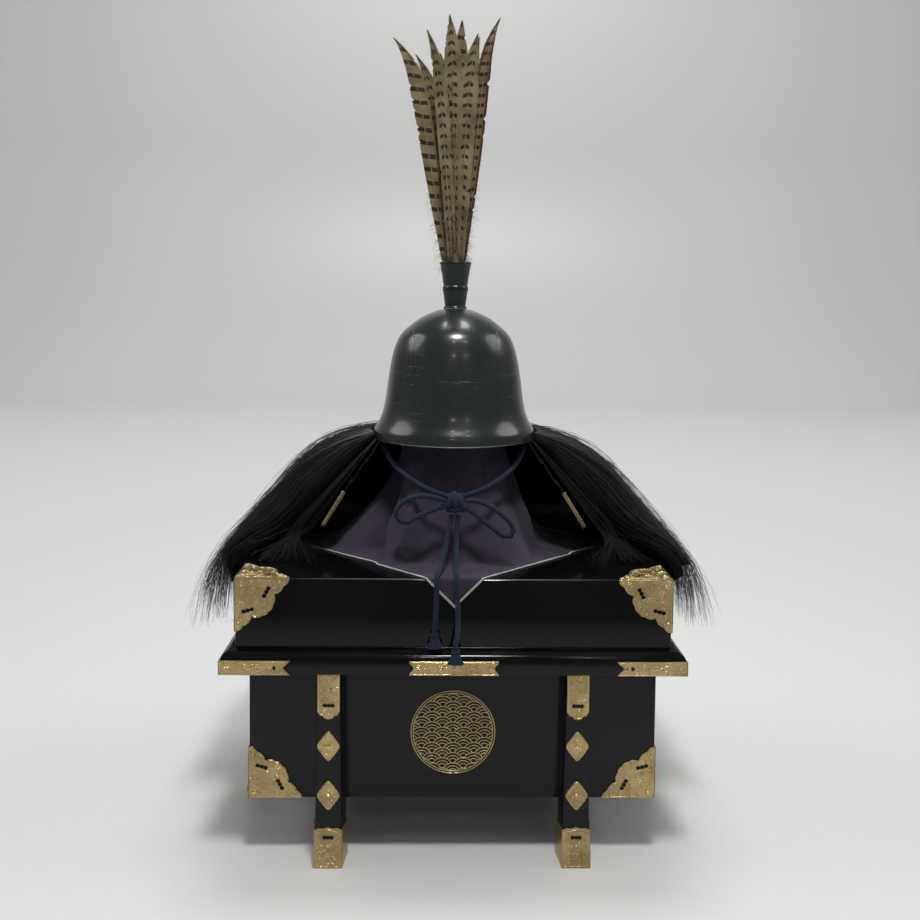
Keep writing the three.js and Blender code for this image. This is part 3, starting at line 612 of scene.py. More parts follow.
def studio():
    """A pale floor that runs up into a pale wall behind, under high lamps and soft fill."""
    world = bpy.data.worlds.new("pale_room")
    world.use_nodes = True
    sky = world.node_tree.nodes["Background"].inputs
    sky[0].default_value, sky[1].default_value = (0.83, 0.84, 0.85, 1), 0.2
    bpy.context.scene.world = world
    bpy.context.scene.view_settings.view_transform = "Standard"
    lamp("ceiling", (0.12, -1.15, 3.35), (0, 0, 0.4), 0.5, 64)
    lamp("ceiling_back", (0.2, 2.5, 9.0), (0, 9.5, 1.5), 4.0, 500)
    lamp("ceiling_side", (-6.5, 1.0, 5.0), (-5.0, 1.0, 0.0), 5.0, 160)
    lamp("ceiling_far_side", (6.5, 1.0, 5.0), (5.0, 1.0, 0.0), 5.0, 160)
    spots = [(-0.15, -3.3, 2.3), (1.1, -3.1, 2.3), (-0.1, -2.1, 3.1), (0.9, -2.0, 3.1)]
    for k, spot in enumerate(spots):
        lamp(f"spot_{k}", spot, (0, 0, 0.7), 0.12, 1.8)
    side, wall, bend, top = 30000.0, 9000.0, 2500.0, 14000.0
    turn = np.linspace(0, math.pi / 2, 17)
    rise = zip(wall - bend + bend * np.sin(turn), bend - bend * np.cos(turn))
    profile = [(-side, 0), *rise, (wall, top)]
    points = [(x, y, z) for y, z in profile for x in (-side, side)]
    faces = [(2 * k, 2 * k + 1, 2 * k + 3, 2 * k + 2) for k in range(len(profile) - 1)]
    grey = (0.5, 0.5, 0.5)
    pale = noisy_look("pale_floor", grey, 0.45, 40.0, 2.0, (0.64, 0.64, 0.63), (0.66, 0.66, 0.65))
    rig.stage(piece("floor", points, faces, pale))


camera()
studio()

# Cord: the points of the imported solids
KNOT = (1, -155, 515)
CHIN = [(121.9, -24.8, 608), (118.3, -26, 603), (117, -33, 593), (110, -50, 577), (97, -75, 561),
        (78, -101, 548), (55, -125, 537), (32, -141, 529), (13, -148, 524)]
LEFT_LOOP = [(-14.9, -158.5, 519.4), (-34, -165, 526), (-52, -169, 528), (-67, -171, 525),
             (-81, -172, 516), (-88, -172, 504), (-84, -172, 493), (-72, -172, 489), (-58, -170, 495),
             (-44, -167, 502), (-30, -163, 507), (-14.8, -157.6, 510.6)]
RIGHT_LOOP = [(17.4, -158.8, 519.4), (34, -164, 520), (51, -168, 514), (67, -171, 504),
              (81, -173, 492), (88, -174, 480), (83, -175, 470), (71, -175, 471), (57, -172, 481),
              (43, -168, 491), (30, -163, 501), (17, -157.8, 508.2)]
LEFT_TAIL = [(-4.5, -157.4, 497.9), (-7, -162, 482), (-11, -172, 463), (-15, -186, 446),
             (-20, -203, 433), (-23, -219, 427), (-25, -232.6, 426.6), (-26, -238, 416),
             (-26, -238, 398), (-27, -238, 370), (-28, -238, 344)]
RIGHT_TAIL = [(5.4, -157.4, 497), (4, -162, 482), (3, -172, 463), (3, -187, 446), (3, -204, 432),
              (3, -219, 427), (3, -232, 426), (3, -238, 416), (4, -239, 392), (5, -244, 364),
              (4, -254, 342), (2, -257, 335), (2, -258, 327)]
CORD = 8.0
PLAITS = 5  # strands that show round the cord
PLAIT_LENGTH = 9.0  # along the cord for one turn of a strand


def braid(path, radius, sides):
    """Points, faces, UVs and relief of a round braid whose strands cross as raised diamonds."""
    first, second = sides_of(path)
    run = length_along(path)
    turn = round_turn(sides)
    u, v = np.meshgrid(turn * PLAITS / 2, run * 2 * math.pi / PLAIT_LENGTH)
    relief = np.abs(np.cos(u + v / 2) * np.cos(u - v / 2)) ** 0.5
    out = radius * (0.74 + 0.3 * relief)
    points = (path[:, None] + out[..., None] * (
        np.cos(turn)[None, :, None] * first[:, None] + np.sin(turn)[None, :, None] * second[:, None]))
    faces, uv = tube_faces(len(path), sides)
    return points.reshape(-1, 3), faces, [(a, b * run[-1] / 50.0) for a, b in uv], relief.ravel()


def braided(name, paths, look, radius=CORD / 2, sides=30):
    """One piece with a round braid along each path."""
    made = [braid(path, radius, sides) for path in paths]
    points, faces = joined([part[:2] for part in made])
    obj = piece(name, points, faces, look, [pair for part in made for pair in part[2]])
    set_floats(obj.data, "relief", np.concatenate([part[3] for part in made]))
    return obj


def knot_piece(look):
    """The bow's knot: cord wrapped round its middle, with the ends tucked behind."""
    wraps = [  # middle of each wrap, its turn about y in degrees, half depth and half height
        (-8.5, 1.5, 12, 8.5, 11.5), (-0.5, 1.0, -5, 10.0, 13.5), (8.5, 0.5, -16, 8.5, 11.5),
        (0.5, -9.0, 86, 8.0, 11.0), (-1.0, 8.5, 100, 7.0, 10.5)]
    turn = np.linspace(0, 2 * math.pi, 72)
    paths = []
    for x, z, degrees, deep, high in wraps:
        c, s = math.cos(math.radians(degrees)), math.sin(math.radians(degrees))
        ring = np.stack([0 * turn, deep * np.cos(turn), high * np.sin(turn)], axis=1)
        paths.append(ring @ np.array([[c, 0, -s], [0, 1, 0], [s, 0, c]]) + KNOT + np.array([x, 0, z]))
    return braided("bow_knot_wraps", paths, look, sides=24)


def cords():
    look = cord_look()
    knot = dress(knot_piece(look), "navy_cord", "bow_knot")
    chin_left = [(2 * KNOT[0] * (y / KNOT[1]) - x, y, z) for x, y, z in CHIN]
    rows = [
        ("chin_cord_right", CHIN, "object", "medium", []),
        ("chin_cord_left", chin_left, "knot", "medium", [knot]),
        ("bow_loop_left", LEFT_LOOP, "object", "medium", []),
        ("bow_loop_right", RIGHT_LOOP, "object", "medium", []),
        ("cord_tail_left", LEFT_TAIL, "fitting", "limp", "left"),
        ("cord_tail_right", RIGHT_TAIL, "fitting", "limp", "right"),
    ]
    for name, points, far_end, stiffness, carried in rows:
        route = spline(points, 0.8)
        obj = dress(braided(name + "_braid", [route], look), "navy_cord", name)
        path = at(route)
        if far_end == "fitting":
            carried = [dress(tassel(carried, points[-1], look), "navy_cord", f"tassel_{carried}")]
        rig.cord(obj, exit=path[0], length=float(length_along(path)[-1]), diameter=CORD * MM,
                far_end=far_end, stiffness=stiffness, lay="hanging", path=path, with_pieces=carried)


# Geometry node trees: one turns lines into strands, one sets a small shape on each point
def new_tree(name, inputs):
    tree = bpy.data.node_groups.new(name, "GeometryNodeTree")
    tree.interface.new_socket("Geometry", in_out="INPUT", socket_type="NodeSocketGeometry")
    for label, kind in inputs:
        tree.interface.new_socket(label, in_out="INPUT", socket_type="NodeSocket" + kind)
    tree.interface.new_socket("Geometry", in_out="OUTPUT", socket_type="NodeSocketGeometry")
    return tree, tree.nodes.new("NodeGroupInput"), tree.nodes.new("NodeGroupOutput")


def finish_tree(tree, given, out, made):
    """Every repeat ends as real faces with its material."""
    real = tree.nodes.new("GeometryNodeRealizeInstances")
    coat = tree.nodes.new("GeometryNodeSetMaterial")
    tree.links.new(made, real.inputs[0])
    tree.links.new(real.outputs[0], coat.inputs[0])
    tree.links.new(given.outputs["Material"], coat.inputs["Material"])
    tree.links.new(coat.outputs[0], out.inputs[0])
    return tree


def strands_tree():
    tree, given, out = new_tree("strands", [("Sides", "Int"), ("Material", "Material")])
    add, link = tree.nodes.new, tree.links.new
    lines, sweep, ring = (add("GeometryNode" + kind) for kind in (
        "MeshToCurve", "CurveToMesh", "CurvePrimitiveCircle"))
    thick, shade = add("GeometryNodeInputNamedAttribute"), add("GeometryNodeSetShadeSmooth")
    thick.inputs["Name"].default_value = "thick"
    ring.inputs["Radius"].default_value = 1.0
    sweep.inputs["Fill Caps"].default_value = True
    link(given.outputs["Geometry"], lines.inputs[0])
    link(given.outputs["Sides"], ring.inputs["Resolution"])
    link(lines.outputs[0], sweep.inputs["Curve"])
    link(ring.outputs[0], sweep.inputs["Profile Curve"])
    link(thick.outputs[0], sweep.inputs["Scale"])
    link(sweep.outputs[0], shade.inputs[0])
    return finish_tree(tree, given, out, shade.outputs[0])


def studs_tree():
    tree, given, out = new_tree("studs", [("Segments", "Int"), ("Rings", "Int"),
                                         ("Radius", "Float"), ("Material", "Material")])
    add, link = tree.nodes.new, tree.links.new
    ball, shade, place = (add("GeometryNode" + kind) for kind in (
        "MeshUVSphere", "SetShadeSmooth", "InstanceOnPoints"))
    size = add("GeometryNodeInputNamedAttribute")
    size.inputs["Name"].default_value = "size"
    for name in ("Segments", "Rings", "Radius"):
        link(given.outputs[name], ball.inputs[name])
    link(ball.outputs[0], shade.inputs[0])
    link(given.outputs["Geometry"], place.inputs["Points"])
    link(shade.outputs[0], place.inputs["Instance"])
    link(size.outputs[0], place.inputs["Scale"])
    return finish_tree(tree, given, out, place.outputs[0])


STRANDS = strands_tree()
STUDS = studs_tree()


def grown(name, base, tree, look, **values):
    """Runs a node tree on a plain mesh and keeps the result as an ordinary object."""
    seed = placed(name + "_base", base)
    change = seed.modifiers.new("grow", "NODES")
    change.node_group = tree
    values["Material"] = look
    for item in tree.interface.items_tree:
        if item.in_out == "INPUT" and item.name in values:
            change[item.identifier] = values[item.name]
    mesh = applied(seed)
    mesh.name = name
    bpy.data.objects.remove(seed)
    return placed(name, mesh)


def applied(obj):
    """The mesh of an object with its modifiers run."""
    bpy.context.view_layer.update()
    return bpy.data.meshes.new_from_object(obj.evaluated_get(bpy.context.evaluated_depsgraph_get()))


def strands(name, lines, thick, tone, look, sides=3):
    """Strands along lines of equal point counts; thick is a radius in millimetres for each point."""
    lines = np.asarray(lines, float)
    count, length = lines.shape[:2]
    first = np.arange(count)[:, None] * length + np.arange(length - 1)
    edges = np.stack([first, first + 1], axis=-1).reshape(-1, 2)
    mesh = bpy.data.meshes.new(name + "_lines")
    mesh.from_pydata(at(lines.reshape(-1, 3)).tolist(), edges.tolist(), [])
    set_floats(mesh, "thick", np.broadcast_to(thick, (count, length)) * MM)
    set_floats(mesh, "tone", np.broadcast_to(tone, (count, length)))
    return grown(name, mesh, STRANDS, look, Sides=sides)


def studs(name, points, sizes, look):
    """Small domes at points in millimetres, each with its own radius."""
    mesh = bpy.data.meshes.new(name + "_points")
    mesh.from_pydata(at(points).tolist(), [], [])
    set_floats(mesh, "size", sizes)
    return grown(name, mesh, STUDS, look, Segments=10, Rings=6, Radius=MM)


GOLDEN_TURN = 2.39996  # spreads threads evenly over a round


def tassel(side, tip, look):
    """A bound head and a skirt of loose threads, at the end of a cord."""
    rng = np.random.default_rng(11 if side == "left" else 12)
    x, y, z = tip[0], tip[1], tip[2] - 0.75
    count, steps = 110, 7
    along = np.linspace(0, 1, steps)
    spread = 3.6 + 1.0 * np.sin(np.pi * np.minimum(1, along * 2)) + 8.4 * along ** 1.4
    lines = []
    for k in range(count):
        turn, out = k * GOLDEN_TURN, spread * math.sqrt((k + 0.5) / count)
        wave = rng.normal(0, 0.5, 2)
        fall = 23.5 * (1 - 0.08 * rng.random())
        lines.append(np.stack([x + out * math.cos(turn) + wave[0] * along,
                               y + 0.6 * out * math.sin(turn) + wave[1] * along,
                               z - fall * along], axis=1))
    thread = thread_look(f"navy_thread_{side}", (0.004, 0.007, 0.02), (0.02, 0.034, 0.085), 0.7)
    threads = strands(f"tassel_{side}_threads", lines, 0.75, rng.random((count, 1)), thread, sides=4)
    turns = np.linspace(0, 4 * 2 * math.pi, 120)
    wrap = np.stack([x + 5.6 * np.cos(turns), y + 4.4 * np.sin(turns), z - 2.6 - 0.9 * turns / 6.28], 1)
    obj = braided(f"tassel_{side}_binding", [wrap], look, 1.0, 8)
    threads.parent = obj
    return obj


# Helmet bowl and plume holder
BOWL = [(1, 0), (0.995, 0.014), (0.978, 0.07), (0.926, 0.127), (0.885, 0.188), (0.85, 0.282),
        (0.822, 0.41), (0.785, 0.563), (0.74, 0.69), (0.663, 0.798), (0.533, 0.878), (0.36, 0.95),
        (0.15, 0.998), (0.0, 1.0)]


def helmet_bowl():
    outline = [(0.0, out * BOWL_RADIUS, up * BOWL_HEIGHT) for out, up in BOWL]
    outer = spline(outline, 3.0)[:, 1:]
    outer[:, 0] = np.maximum(outer[:, 0], 0)
    outer[:, 1] = np.minimum(outer[:, 1], BOWL_HEIGHT)
    inner = outer + BOWL_WALL * left_of(unit(np.gradient(outer, axis=0)))
    inner = inner[inner[:, 0] > 1.0]
    inner[0] = (BOWL_RADIUS - BOWL_WALL, 0)
    rim = [(BOWL_RADIUS - 2.4, 0.0), (BOWL_RADIUS - 0.5, 0.2)]
    shell = [(0.01, inner[-1][1]), *inner[::-1], *rim, *outer[1:-1], (0.01, BOWL_HEIGHT)]
    bowl = turned("helmet_bowl", np.array(shell) + (0, RIM), 120, helmet_look())
    dress(bowl, "grey_lacquer", "bowl")


def plume_holder():
    look = socket_look()
    profiles = {
        "socket_base": [(0.01, 0), (19, 0), (19.4, 1), (19, 2.4), (17, 4.4), (17.2, 6), (20.2, 27.5),
                        (20.6, 29), (21.3, 29.8), (21.3, 32.4), (20.6, 33), (0.01, 33)],
        "socket_cup": [(0.01, 33.3), (20.6, 33.3), (21.2, 34), (20.9, 35.6), (19.6, 37.5), (19.9, 39),
                       (25, 72), (25.2, 72.4), (26, 73), (26, 75.8), (25.6, 76.3), (24, 76.3),
                       (18, 39.5), (0.01, 39.3)],
    }
    for name, profile in profiles.items():
        obj = turned(name + "_turned", np.array(profile) + (0, CROWN + GAP), 64, look)
        dress(smooth_by_angle(obj, 40), "socket_metal", name)


# Plume: lean, depth, length, width and bow of each feather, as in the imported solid, and its kind
FEATHERS = [(-1.5, -0.1, 0.91, 1.1, 0.1, "barred"), (-1.0, 0.35, 0.87, 0.8, 0.05, "spotted"),
            (-0.72, -0.35, 0.93, 0.7, 0.05, "spotted"), (-0.42, 0.2, 0.87, 0.8, 0.0, "barred"),
            (-0.2, -0.25, 0.99, 1.0, 0.0, "spotted"), (0.1, 0.05, 0.985, 1.3, 0.0, "barred"),
            (0.46, -0.3, 0.92, 1.0, 0.05, "spotted"), (0.52, 0.4, 0.94, 0.9, 0.08, "barred"),
            (1.0, 0.1, 1.0, 0.8, 0.12, "edged")]
VANE = ([0, 0.03, 0.07, 0.25, 0.55, 0.75, 0.88, 0.95, 1],
        [0.3, 0.42, 0.68, 0.8, 0.97, 1, 0.7, 0.32, 0.03])
PLUME_FOOT = CROWN + 2 * GAP + 33 + 6 + GAP  # on the floor of the socket's cup
CORE, RISE, SPREAD, FEATHER_WIDTH, SWAY = 12.0, 436.0, 64.0, 33.0, 0.62


def shaft(feather, along):
    lean, depth, long, _, bow, _ = feather
    sway = SWAY * along ** 1.2 + (1 - SWAY) * along ** 8
    x = lean * CORE / 2 + lean * SPREAD * sway + bow * lean * SPREAD * np.sin(np.pi * along)
    y = depth * CORE + depth * SPREAD * sway
    z = PLUME_FOOT + GAP + CORE + along * (long * RISE - CORE)
    return np.stack([x, y, z], axis=-1)


ROWS, ACROSS = 160, 9  # points along a vane, and across each half of it


def climb(along):
    """How far a vane's edge is lifted: the barbs point up the feather."""
    return np.minimum(1, (1 - along) * 6) * np.minimum(1, along * 8)


def vane(centre, half, along, twist, notch):
    """Points of both faces of a vane, row by row, with their u and v."""
    points, pairs = [], []
    for face in (1, -1):
        for u in np.linspace(-1, 1, 2 * ACROSS + 1):
            width = half * (1 - notch[-1 if u < 0 else 1] * abs(u) ** 3)
            lift = 9.0 * abs(u) * climb(along)
            cup = 2.2 * u * u
            column = centre + np.stack([
                u * width * np.cos(twist), u * width * np.sin(twist) - cup + face * 0.25, lift], axis=-1)
            column[:, 2] = np.minimum(column[:, 2], centre[-1, 2] + 1)
            points.append(column)
            pairs.append(np.stack([np.full(ROWS, u), (column[:, 2] - 0.5 * lift) * MM], -1))
    return (np.array(part).transpose(1, 0, 2).reshape(ROWS * len(points), -1)
            for part in (points, pairs))


def vane_faces():
    """A vane's faces: its front from side to side, and back along its back."""
    front = 2 * ACROSS + 1
    wide = 2 * front
    order = [*range(front), *range(wide - 1, front - 1, -1)]
    faces, _ = tube_faces(ROWS, wide)
    return [[i // wide * wide + order[i % wide] for i in face] for face in faces]


def plume():
    rng = np.random.default_rng(5)
    looks = {
        "barred": feather_look("pheasant_barred", (0.13, 0.1, 0.05), (0.24, 0.2, 0.12),
                               (0.018, 0.011, 0.008), 0.0215, 1.2, 0.4, 0.85),
        "spotted": feather_look("pheasant_spotted", (0.12, 0.1, 0.055), (0.27, 0.225, 0.14),
                                (0.02, 0.012, 0.009), 0.0165, 4.6, 0.25, 0.5),
        "edged": feather_look("pheasant_edged", (0.13, 0.09, 0.05), (0.24, 0.18, 0.11),
                              (0.02, 0.01, 0.009), 0.017, 1.6, 0.3, 0.6, (0.07, 0.025, 0.022)),
    }
    shaft_look = noisy_look("feather_shaft", (0.24, 0.17, 0.09), 0.4, 90.0, 4.0,
                            (0.14, 0.09, 0.045), (0.34, 0.26, 0.15))
    brown = thread_look("reddish_barbs", (0.05, 0.025, 0.014), (0.24, 0.13, 0.07), 0.65)
    pale = thread_look("pale_barbs", (0.14, 0.09, 0.045), (0.4, 0.31, 0.19), 0.65)
    along = np.linspace(0, 1, ROWS)
    faces = vane_faces()
    shafts, barbs, fluff = [], [], []
    for k, feather in enumerate(FEATHERS):
        centre = shaft(feather, along)
        half = np.interp(along, *VANE) * feather[3] * FEATHER_WIDTH / 2
        twist = rng.uniform(-0.55, 0.55) + 0.3 * np.sin(along * 3 + k)
        notch = {side: edge_notches(rng, along) for side in (-1, 1)}
        points, pairs = vane(centre, half, along, twist, notch)
        obj = piece(f"feather_{k + 1}", points, faces, looks[feather[5]],
                    [pairs[i] for face in faces for i in face])
        dress(merge(obj, 0.001 * MM), "pheasant_feather", *(["plume"] if k == 0 else []))
        shafts.append(centre[::6] + (0, -0.5, 0))
        barbs += edge_barbs(rng, centre, half, along, twist, notch)
        fluff += down(rng, centre, half)
    kinds = [
        ("feather_shafts", shafts, np.linspace(1.5, 0.35, len(shafts[0])), shaft_look, 6),
        ("feather_edge_barbs", barbs, 0.16 * np.linspace(1, 0.3, 4), pale, 3),
        ("feather_down", fluff, 0.27 * np.linspace(1, 0.25, 7), brown, 3),
    ]
    for name, lines, thick, look, sides in kinds:
        tone = 0.5 if look is shaft_look else rng.random((len(lines), 1))
        dress(strands(name, lines, thick, tone, look, sides), "pheasant_feather")
    profile = [(0.01, 0), (CORE, 0), (CORE * 1.1, 30), (CORE * 0.5, 56), (0.01, 58)]
    core = turned("plume_core", np.array(profile) + (0, PLUME_FOOT), 20, brown)
    set_floats(core.data, "tone", np.zeros(len(core.data.vertices)))
    dress(core, "pheasant_feather")


def edge_notches(rng, along):
    """Small splits where barbs have come apart, as shares of the vane's half width."""
    cut = 0.05 * rng.random(len(along))
    for _ in range(rng.integers(4, 8)):
        middle, width = rng.uniform(0.2, 0.97), rng.uniform(0.004, 0.012)
        shape = np.clip(1 - np.abs(along - middle) / width, 0, 1)
        cut = np.maximum(cut, rng.uniform(0.15, 0.5) * shape)
    return cut


def edge_barbs(rng, centre, half, along, twist, notch):
    """Loose barb ends that stand a little past the vane's edge and rise along it."""
    made = []
    for side in (-1, 1):
        for r in range(7, ROWS - 2):
            reach = side * half[r] * (0.9 - notch[side][r])
            start = centre[r] + (reach * math.cos(twist[r]), reach * math.sin(twist[r]) - 2,
                                 8.5 * climb(along[r]))
            step = np.array([side * rng.uniform(0.5, 1.1), rng.normal(0, 0.3), rng.uniform(0.7, 1.4)])
            made.append([start + step * j for j in range(4)])
    return made


def down(rng, centre, half):
    """Soft reddish barbs at the foot of a feather, curling outwards."""
    made = []
    for _ in range(220):
        r = int(rng.uniform(0.04, 0.4) ** 1.1 * len(centre))
        side = rng.choice((-1, 1))
        angle = rng.normal(0, 0.7)
        long = rng.uniform(9, 21) * (1.1 - r / len(centre))
        j = np.linspace(0, 1, 7)
        out = half[r] * 0.4 + long * j
        droop = rng.uniform(-0.25, 0.6) * long * j - rng.uniform(0.0, 0.7) * long * j ** 2.4
        line = np.stack([side * out * math.cos(angle) + rng.normal(0, 0.5) * j,
                         out * math.sin(angle) * 0.8, droop + 3 * np.sin(3 * j) * rng.random()], -1)
        made.append(centre[r] + line)
    return made


# Hair: rows from the roots to the tips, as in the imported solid
ABOVE = RIM - LID_TOP
HAIR_OUTER = [(0.01, 1.08), (0.205, 1.0), (0.465, 0.757), (0.655, 0.4), (0.85, 0.09), (0.945, -0.17)]
HAIR_INNER = [1.01, 0.8, 0.52, 0.26]
HAIR_OPENING, HAIR_OVERHANG, HAIR_DRAPE, HAIR_LENGTH = 70.0, 78.0, 20.0, 412.0
HAIR_ROOT = BOWL_RADIUS + 2 * GAP
GUARD_LEAN = 0.8  # how far the neck guard runs out for each millimetre down
HAIR_POINTS, HAIR_SAMPLES = 10, 97  # points along a strand, and directions in the table of its flow
LOOSE, BRIM, STRAYS, TUFTS = 6500, 1100, 1000, 150  # counts of strands, and of tufts
HAIR_SWING = 0.22  # radians that a strand may swing past the ends of the neck guard
HAIR_SIDE, HAIR_LOWEST = 408.0, 8.0  # no strand lies further out to a side or lower
LOCKS = 21


def lid_edge(angle):
    return np.minimum(LID_WIDTH / 2 / np.maximum(1e-6, abs(np.sin(angle))),
                      LID_DEPTH / 2 / np.maximum(1e-6, abs(np.cos(angle))))


def hair_rows(angle, depth):
    """Seven points of radius and height. Depth is nought on the outside, one on the neck guard and
    two for the hair underneath, which lies on the lid and hangs close to its side."""
    pitch = math.radians(360 - 2 * HAIR_OPENING) / (2 * LOCKS)
    edge = max(lid_edge(angle + step * pitch) for step in (-1, -0.5, 0, 0.5, 1))
    reach = edge + HAIR_OVERHANG - HAIR_ROOT
    guard_drop = 0.75 * ABOVE
    on_guard = HAIR_ROOT + guard_drop * GUARD_LEAN
    knee = max(edge + HAIR_DRAPE, on_guard + 2)
    knee_height = LID_TOP + 0.08 * ABOVE
    used = math.hypot(on_guard - HAIR_ROOT, guard_drop) + knee - on_guard
    tip = knee_height - max(0.35 * ABOVE, HAIR_LENGTH - used)
    outer = [(HAIR_ROOT + out * reach, LID_TOP + up * ABOVE) for out, up in HAIR_OUTER]
    outer.append((HAIR_ROOT + reach, tip))
    guard = [(HAIR_ROOT + (1.01 - up) * ABOVE * GUARD_LEAN, LID_TOP + up * ABOVE) for up in HAIR_INNER]
    inner = guard + [(knee, knee_height), (knee + 4, LID_TOP - 0.15 * ABOVE), (knee + 6, tip + 8)]
    under = guard + [(edge - 28, LID_TOP + 6), (edge + 6, LID_TOP + 1), (edge + 8, LID_TOP - 62)]
    rows = [np.array(part) for part in (outer, inner, under)]
    return rows[0] * (1 - depth) + rows[1] * depth if depth <= 1 else (
        rows[1] * (2 - depth) + rows[2] * (depth - 1))


def hair_line(angle, depth, steps):
    rows = hair_rows(angle, depth)
    line = spline(np.column_stack([rows[:, 0], 0 * rows[:, 0], rows[:, 1]]), 12.0)[:, (0, 2)]
    return pick(line, np.linspace(0, 1, len(line)), np.linspace(0, 1, steps))


def around(angle, radius):
    return radius * np.sin(angle), -radius * np.cos(angle)


def between(table, *places):
    """Values of a table at fractional places along its first axes."""
    found = 0
    lows = [np.clip(place.astype(int), 0, table.shape[k] - 2) for k, place in enumerate(places)]
    for corner in range(2 ** len(places)):
        bits = [(corner >> k) & 1 for k in range(len(places))]
        share = 1
        for bit, low, place in zip(bits, lows, places):
            share = share * ((place - low) if bit else (1 - place + low))
        found = found + share[..., None] * table[tuple(low + bit for low, bit in zip(lows, bits))]
    return found


def brim_lines(rng):
    """Strands from the two front edges of the neck guard, down over it and forwards onto the lid."""
    side = rng.choice((-1, 1), BRIM)
    place = rng.uniform(-2.5, 24, (BRIM, 1))
    start = np.radians(HAIR_OPENING + place)
    lift = rng.uniform(1, 24, (BRIM, 1)) * np.linspace(0, 1, 4)[None]
    drop = (1.01 - np.array(HAIR_INNER))[None] * ABOVE
    x, y = around(start, HAIR_ROOT + drop * GUARD_LEAN + 0.78 * lift)
    guard = np.stack([side[:, None] * x, y, LID_TOP + 1.01 * ABOVE - drop + 0.62 * lift], axis=-1)
    foot = guard[:, -1]
    out = side * rng.uniform(205, 306, BRIM)
    back = 6.0 * place[:, 0] - rng.uniform(60, 190, BRIM)
    back = np.where(np.abs(out) > 232, np.maximum(back, -140), back)
    end = np.stack([out, back, LID_TOP + 2 + 5 * rng.random(BRIM)], axis=-1)
    x, y = around(start[:, 0], 26)
    ahead = np.stack([side * x, y, np.full(BRIM, -32.0)], axis=-1)
    near_end = end + (foot - end) * (0.3, 0.3, 0) + (0, 0, 9)
    t = np.linspace(0, 1, HAIR_POINTS - 3)[1:, None, None]
    curve = (1 - t) ** 3 * foot + 3 * t * (1 - t) ** 2 * (foot + ahead) + 3 * t * t * (1 - t) * near_end
    curve = (curve + t ** 3 * end).transpose(1, 0, 2)
    lines = np.concatenate([guard, curve], axis=1)
    lines += np.cumsum(rng.normal(0, 1.1, lines.shape), axis=1) * np.linspace(0, 1, HAIR_POINTS)[:, None]
    lines[..., 2] = np.maximum(lines[..., 2], LID_TOP + 1.2)
    return lines


def loose_lines(rng, first, last):
    """Strands from the upper edge of the neck guard, drawn together in tufts, and strays above."""
    low, high = first - HAIR_SWING, last + HAIR_SWING
    depths = (0.0, 0.5, 1.0, 1.5, 2.0)
    table = np.array([[hair_line(a, d, HAIR_POINTS) for d in depths]
                      for a in np.linspace(low, high, HAIR_SAMPLES)])
    start = rng.uniform(first, last, LOOSE)
    depth = rng.beta(0.75, 1.9, LOOSE)
    deep = rng.random(LOOSE) < 0.16
    depth[deep] = rng.uniform(0.9, 2.0, deep.sum())
    tufts = np.sort(rng.uniform(first, last, TUFTS))
    tuft = tufts[np.abs(start[:, None] - tufts[None]).argmin(axis=1)]
    along = np.linspace(0, 1, HAIR_POINTS)[None]
    pull = rng.uniform(0.0, 0.8, LOOSE)[:, None] * along ** 0.9
    drift = rng.normal(0, 0.055, LOOSE)[:, None] * along ** 1.3
    angle = np.clip(start[:, None] + (tuft - start)[:, None] * pull + drift, low, high)
    long = rng.random(LOOSE) < 0.55
    end = np.where(long, rng.uniform(0.84, 1.0, LOOSE), rng.uniform(0.5, 0.92, LOOSE))
    rows = between(table, (angle - low) / (high - low) * (HAIR_SAMPLES - 1),
                   np.broadcast_to((depth * 2)[:, None], angle.shape),
                   along * end[:, None] * (HAIR_POINTS - 1))
    wave = np.cumsum(rng.normal(0, 1.9, rows.shape) * along[..., None] ** 0.7, axis=1)
    radius, height = np.moveaxis(rows + wave, -1, 0)
    stray = rng.choice(LOOSE, STRAYS, replace=False)
    bow = np.sin(np.pi * np.minimum(1, along * rng.uniform(0.5, 1.4, (STRAYS, 1))))
    lift = rng.uniform(2, 16, (STRAYS, 1)) * bow
    height[stray] += lift
    radius[stray] += lift * 0.3
    radius = np.minimum(radius, HAIR_SIDE / np.maximum(0.8, np.abs(np.sin(angle))))
    return np.stack([*around(angle, radius), np.maximum(height, HAIR_LOWEST)], axis=-1)


def hair():
    rng = np.random.default_rng(21)
    look = thread_look("black_hair", (0.003, 0.0026, 0.0026), (0.028, 0.024, 0.022), 0.44)
    first, last = math.radians(HAIR_OPENING), math.radians(360 - HAIR_OPENING)
    lines = np.concatenate([loose_lines(rng, first, last), brim_lines(rng)])
    thick = np.linspace(1, 0.3, HAIR_POINTS)[None] * rng.uniform(0.28, 0.56, (len(lines), 1))
    tone = np.clip(rng.normal(0.42, 0.28, (len(lines), 1)), 0, 1)
    # Strands from the guard's front edges are painted darker than the rest, as painted shade low by the lid
    tone[LOOSE:] *= 0.35
    dress(hair_backing(first, last), "black_hair", "hair_cape")
    order = rng.permutation(len(lines))
    for k in range(3):
        some = order[k::3]
        dress(strands(f"hair_strands_{k + 1}", lines[some], thick[some], tone[some], look), "black_hair")


def shaded_hair_mass_look():
    """The hair underneath: black hair painted darker than the loose strands as painted shade of its dense depths, with
    fine grooves along its flow.
    """
    look = Look("hair_mass", (0.0022, 0.002, 0.002), 0.75, Specular_IOR_Level=0.12)
    flow = look.noise(40.0, 3.0, look.stretch(look.uv, (1.0, 26.0, 1.0)))
    look.set(Base_Color=look.blend(flow, (0.0014, 0.0012, 0.0012), (0.006, 0.005, 0.005)))
    return look.bump(flow, 0.002, 0.8)


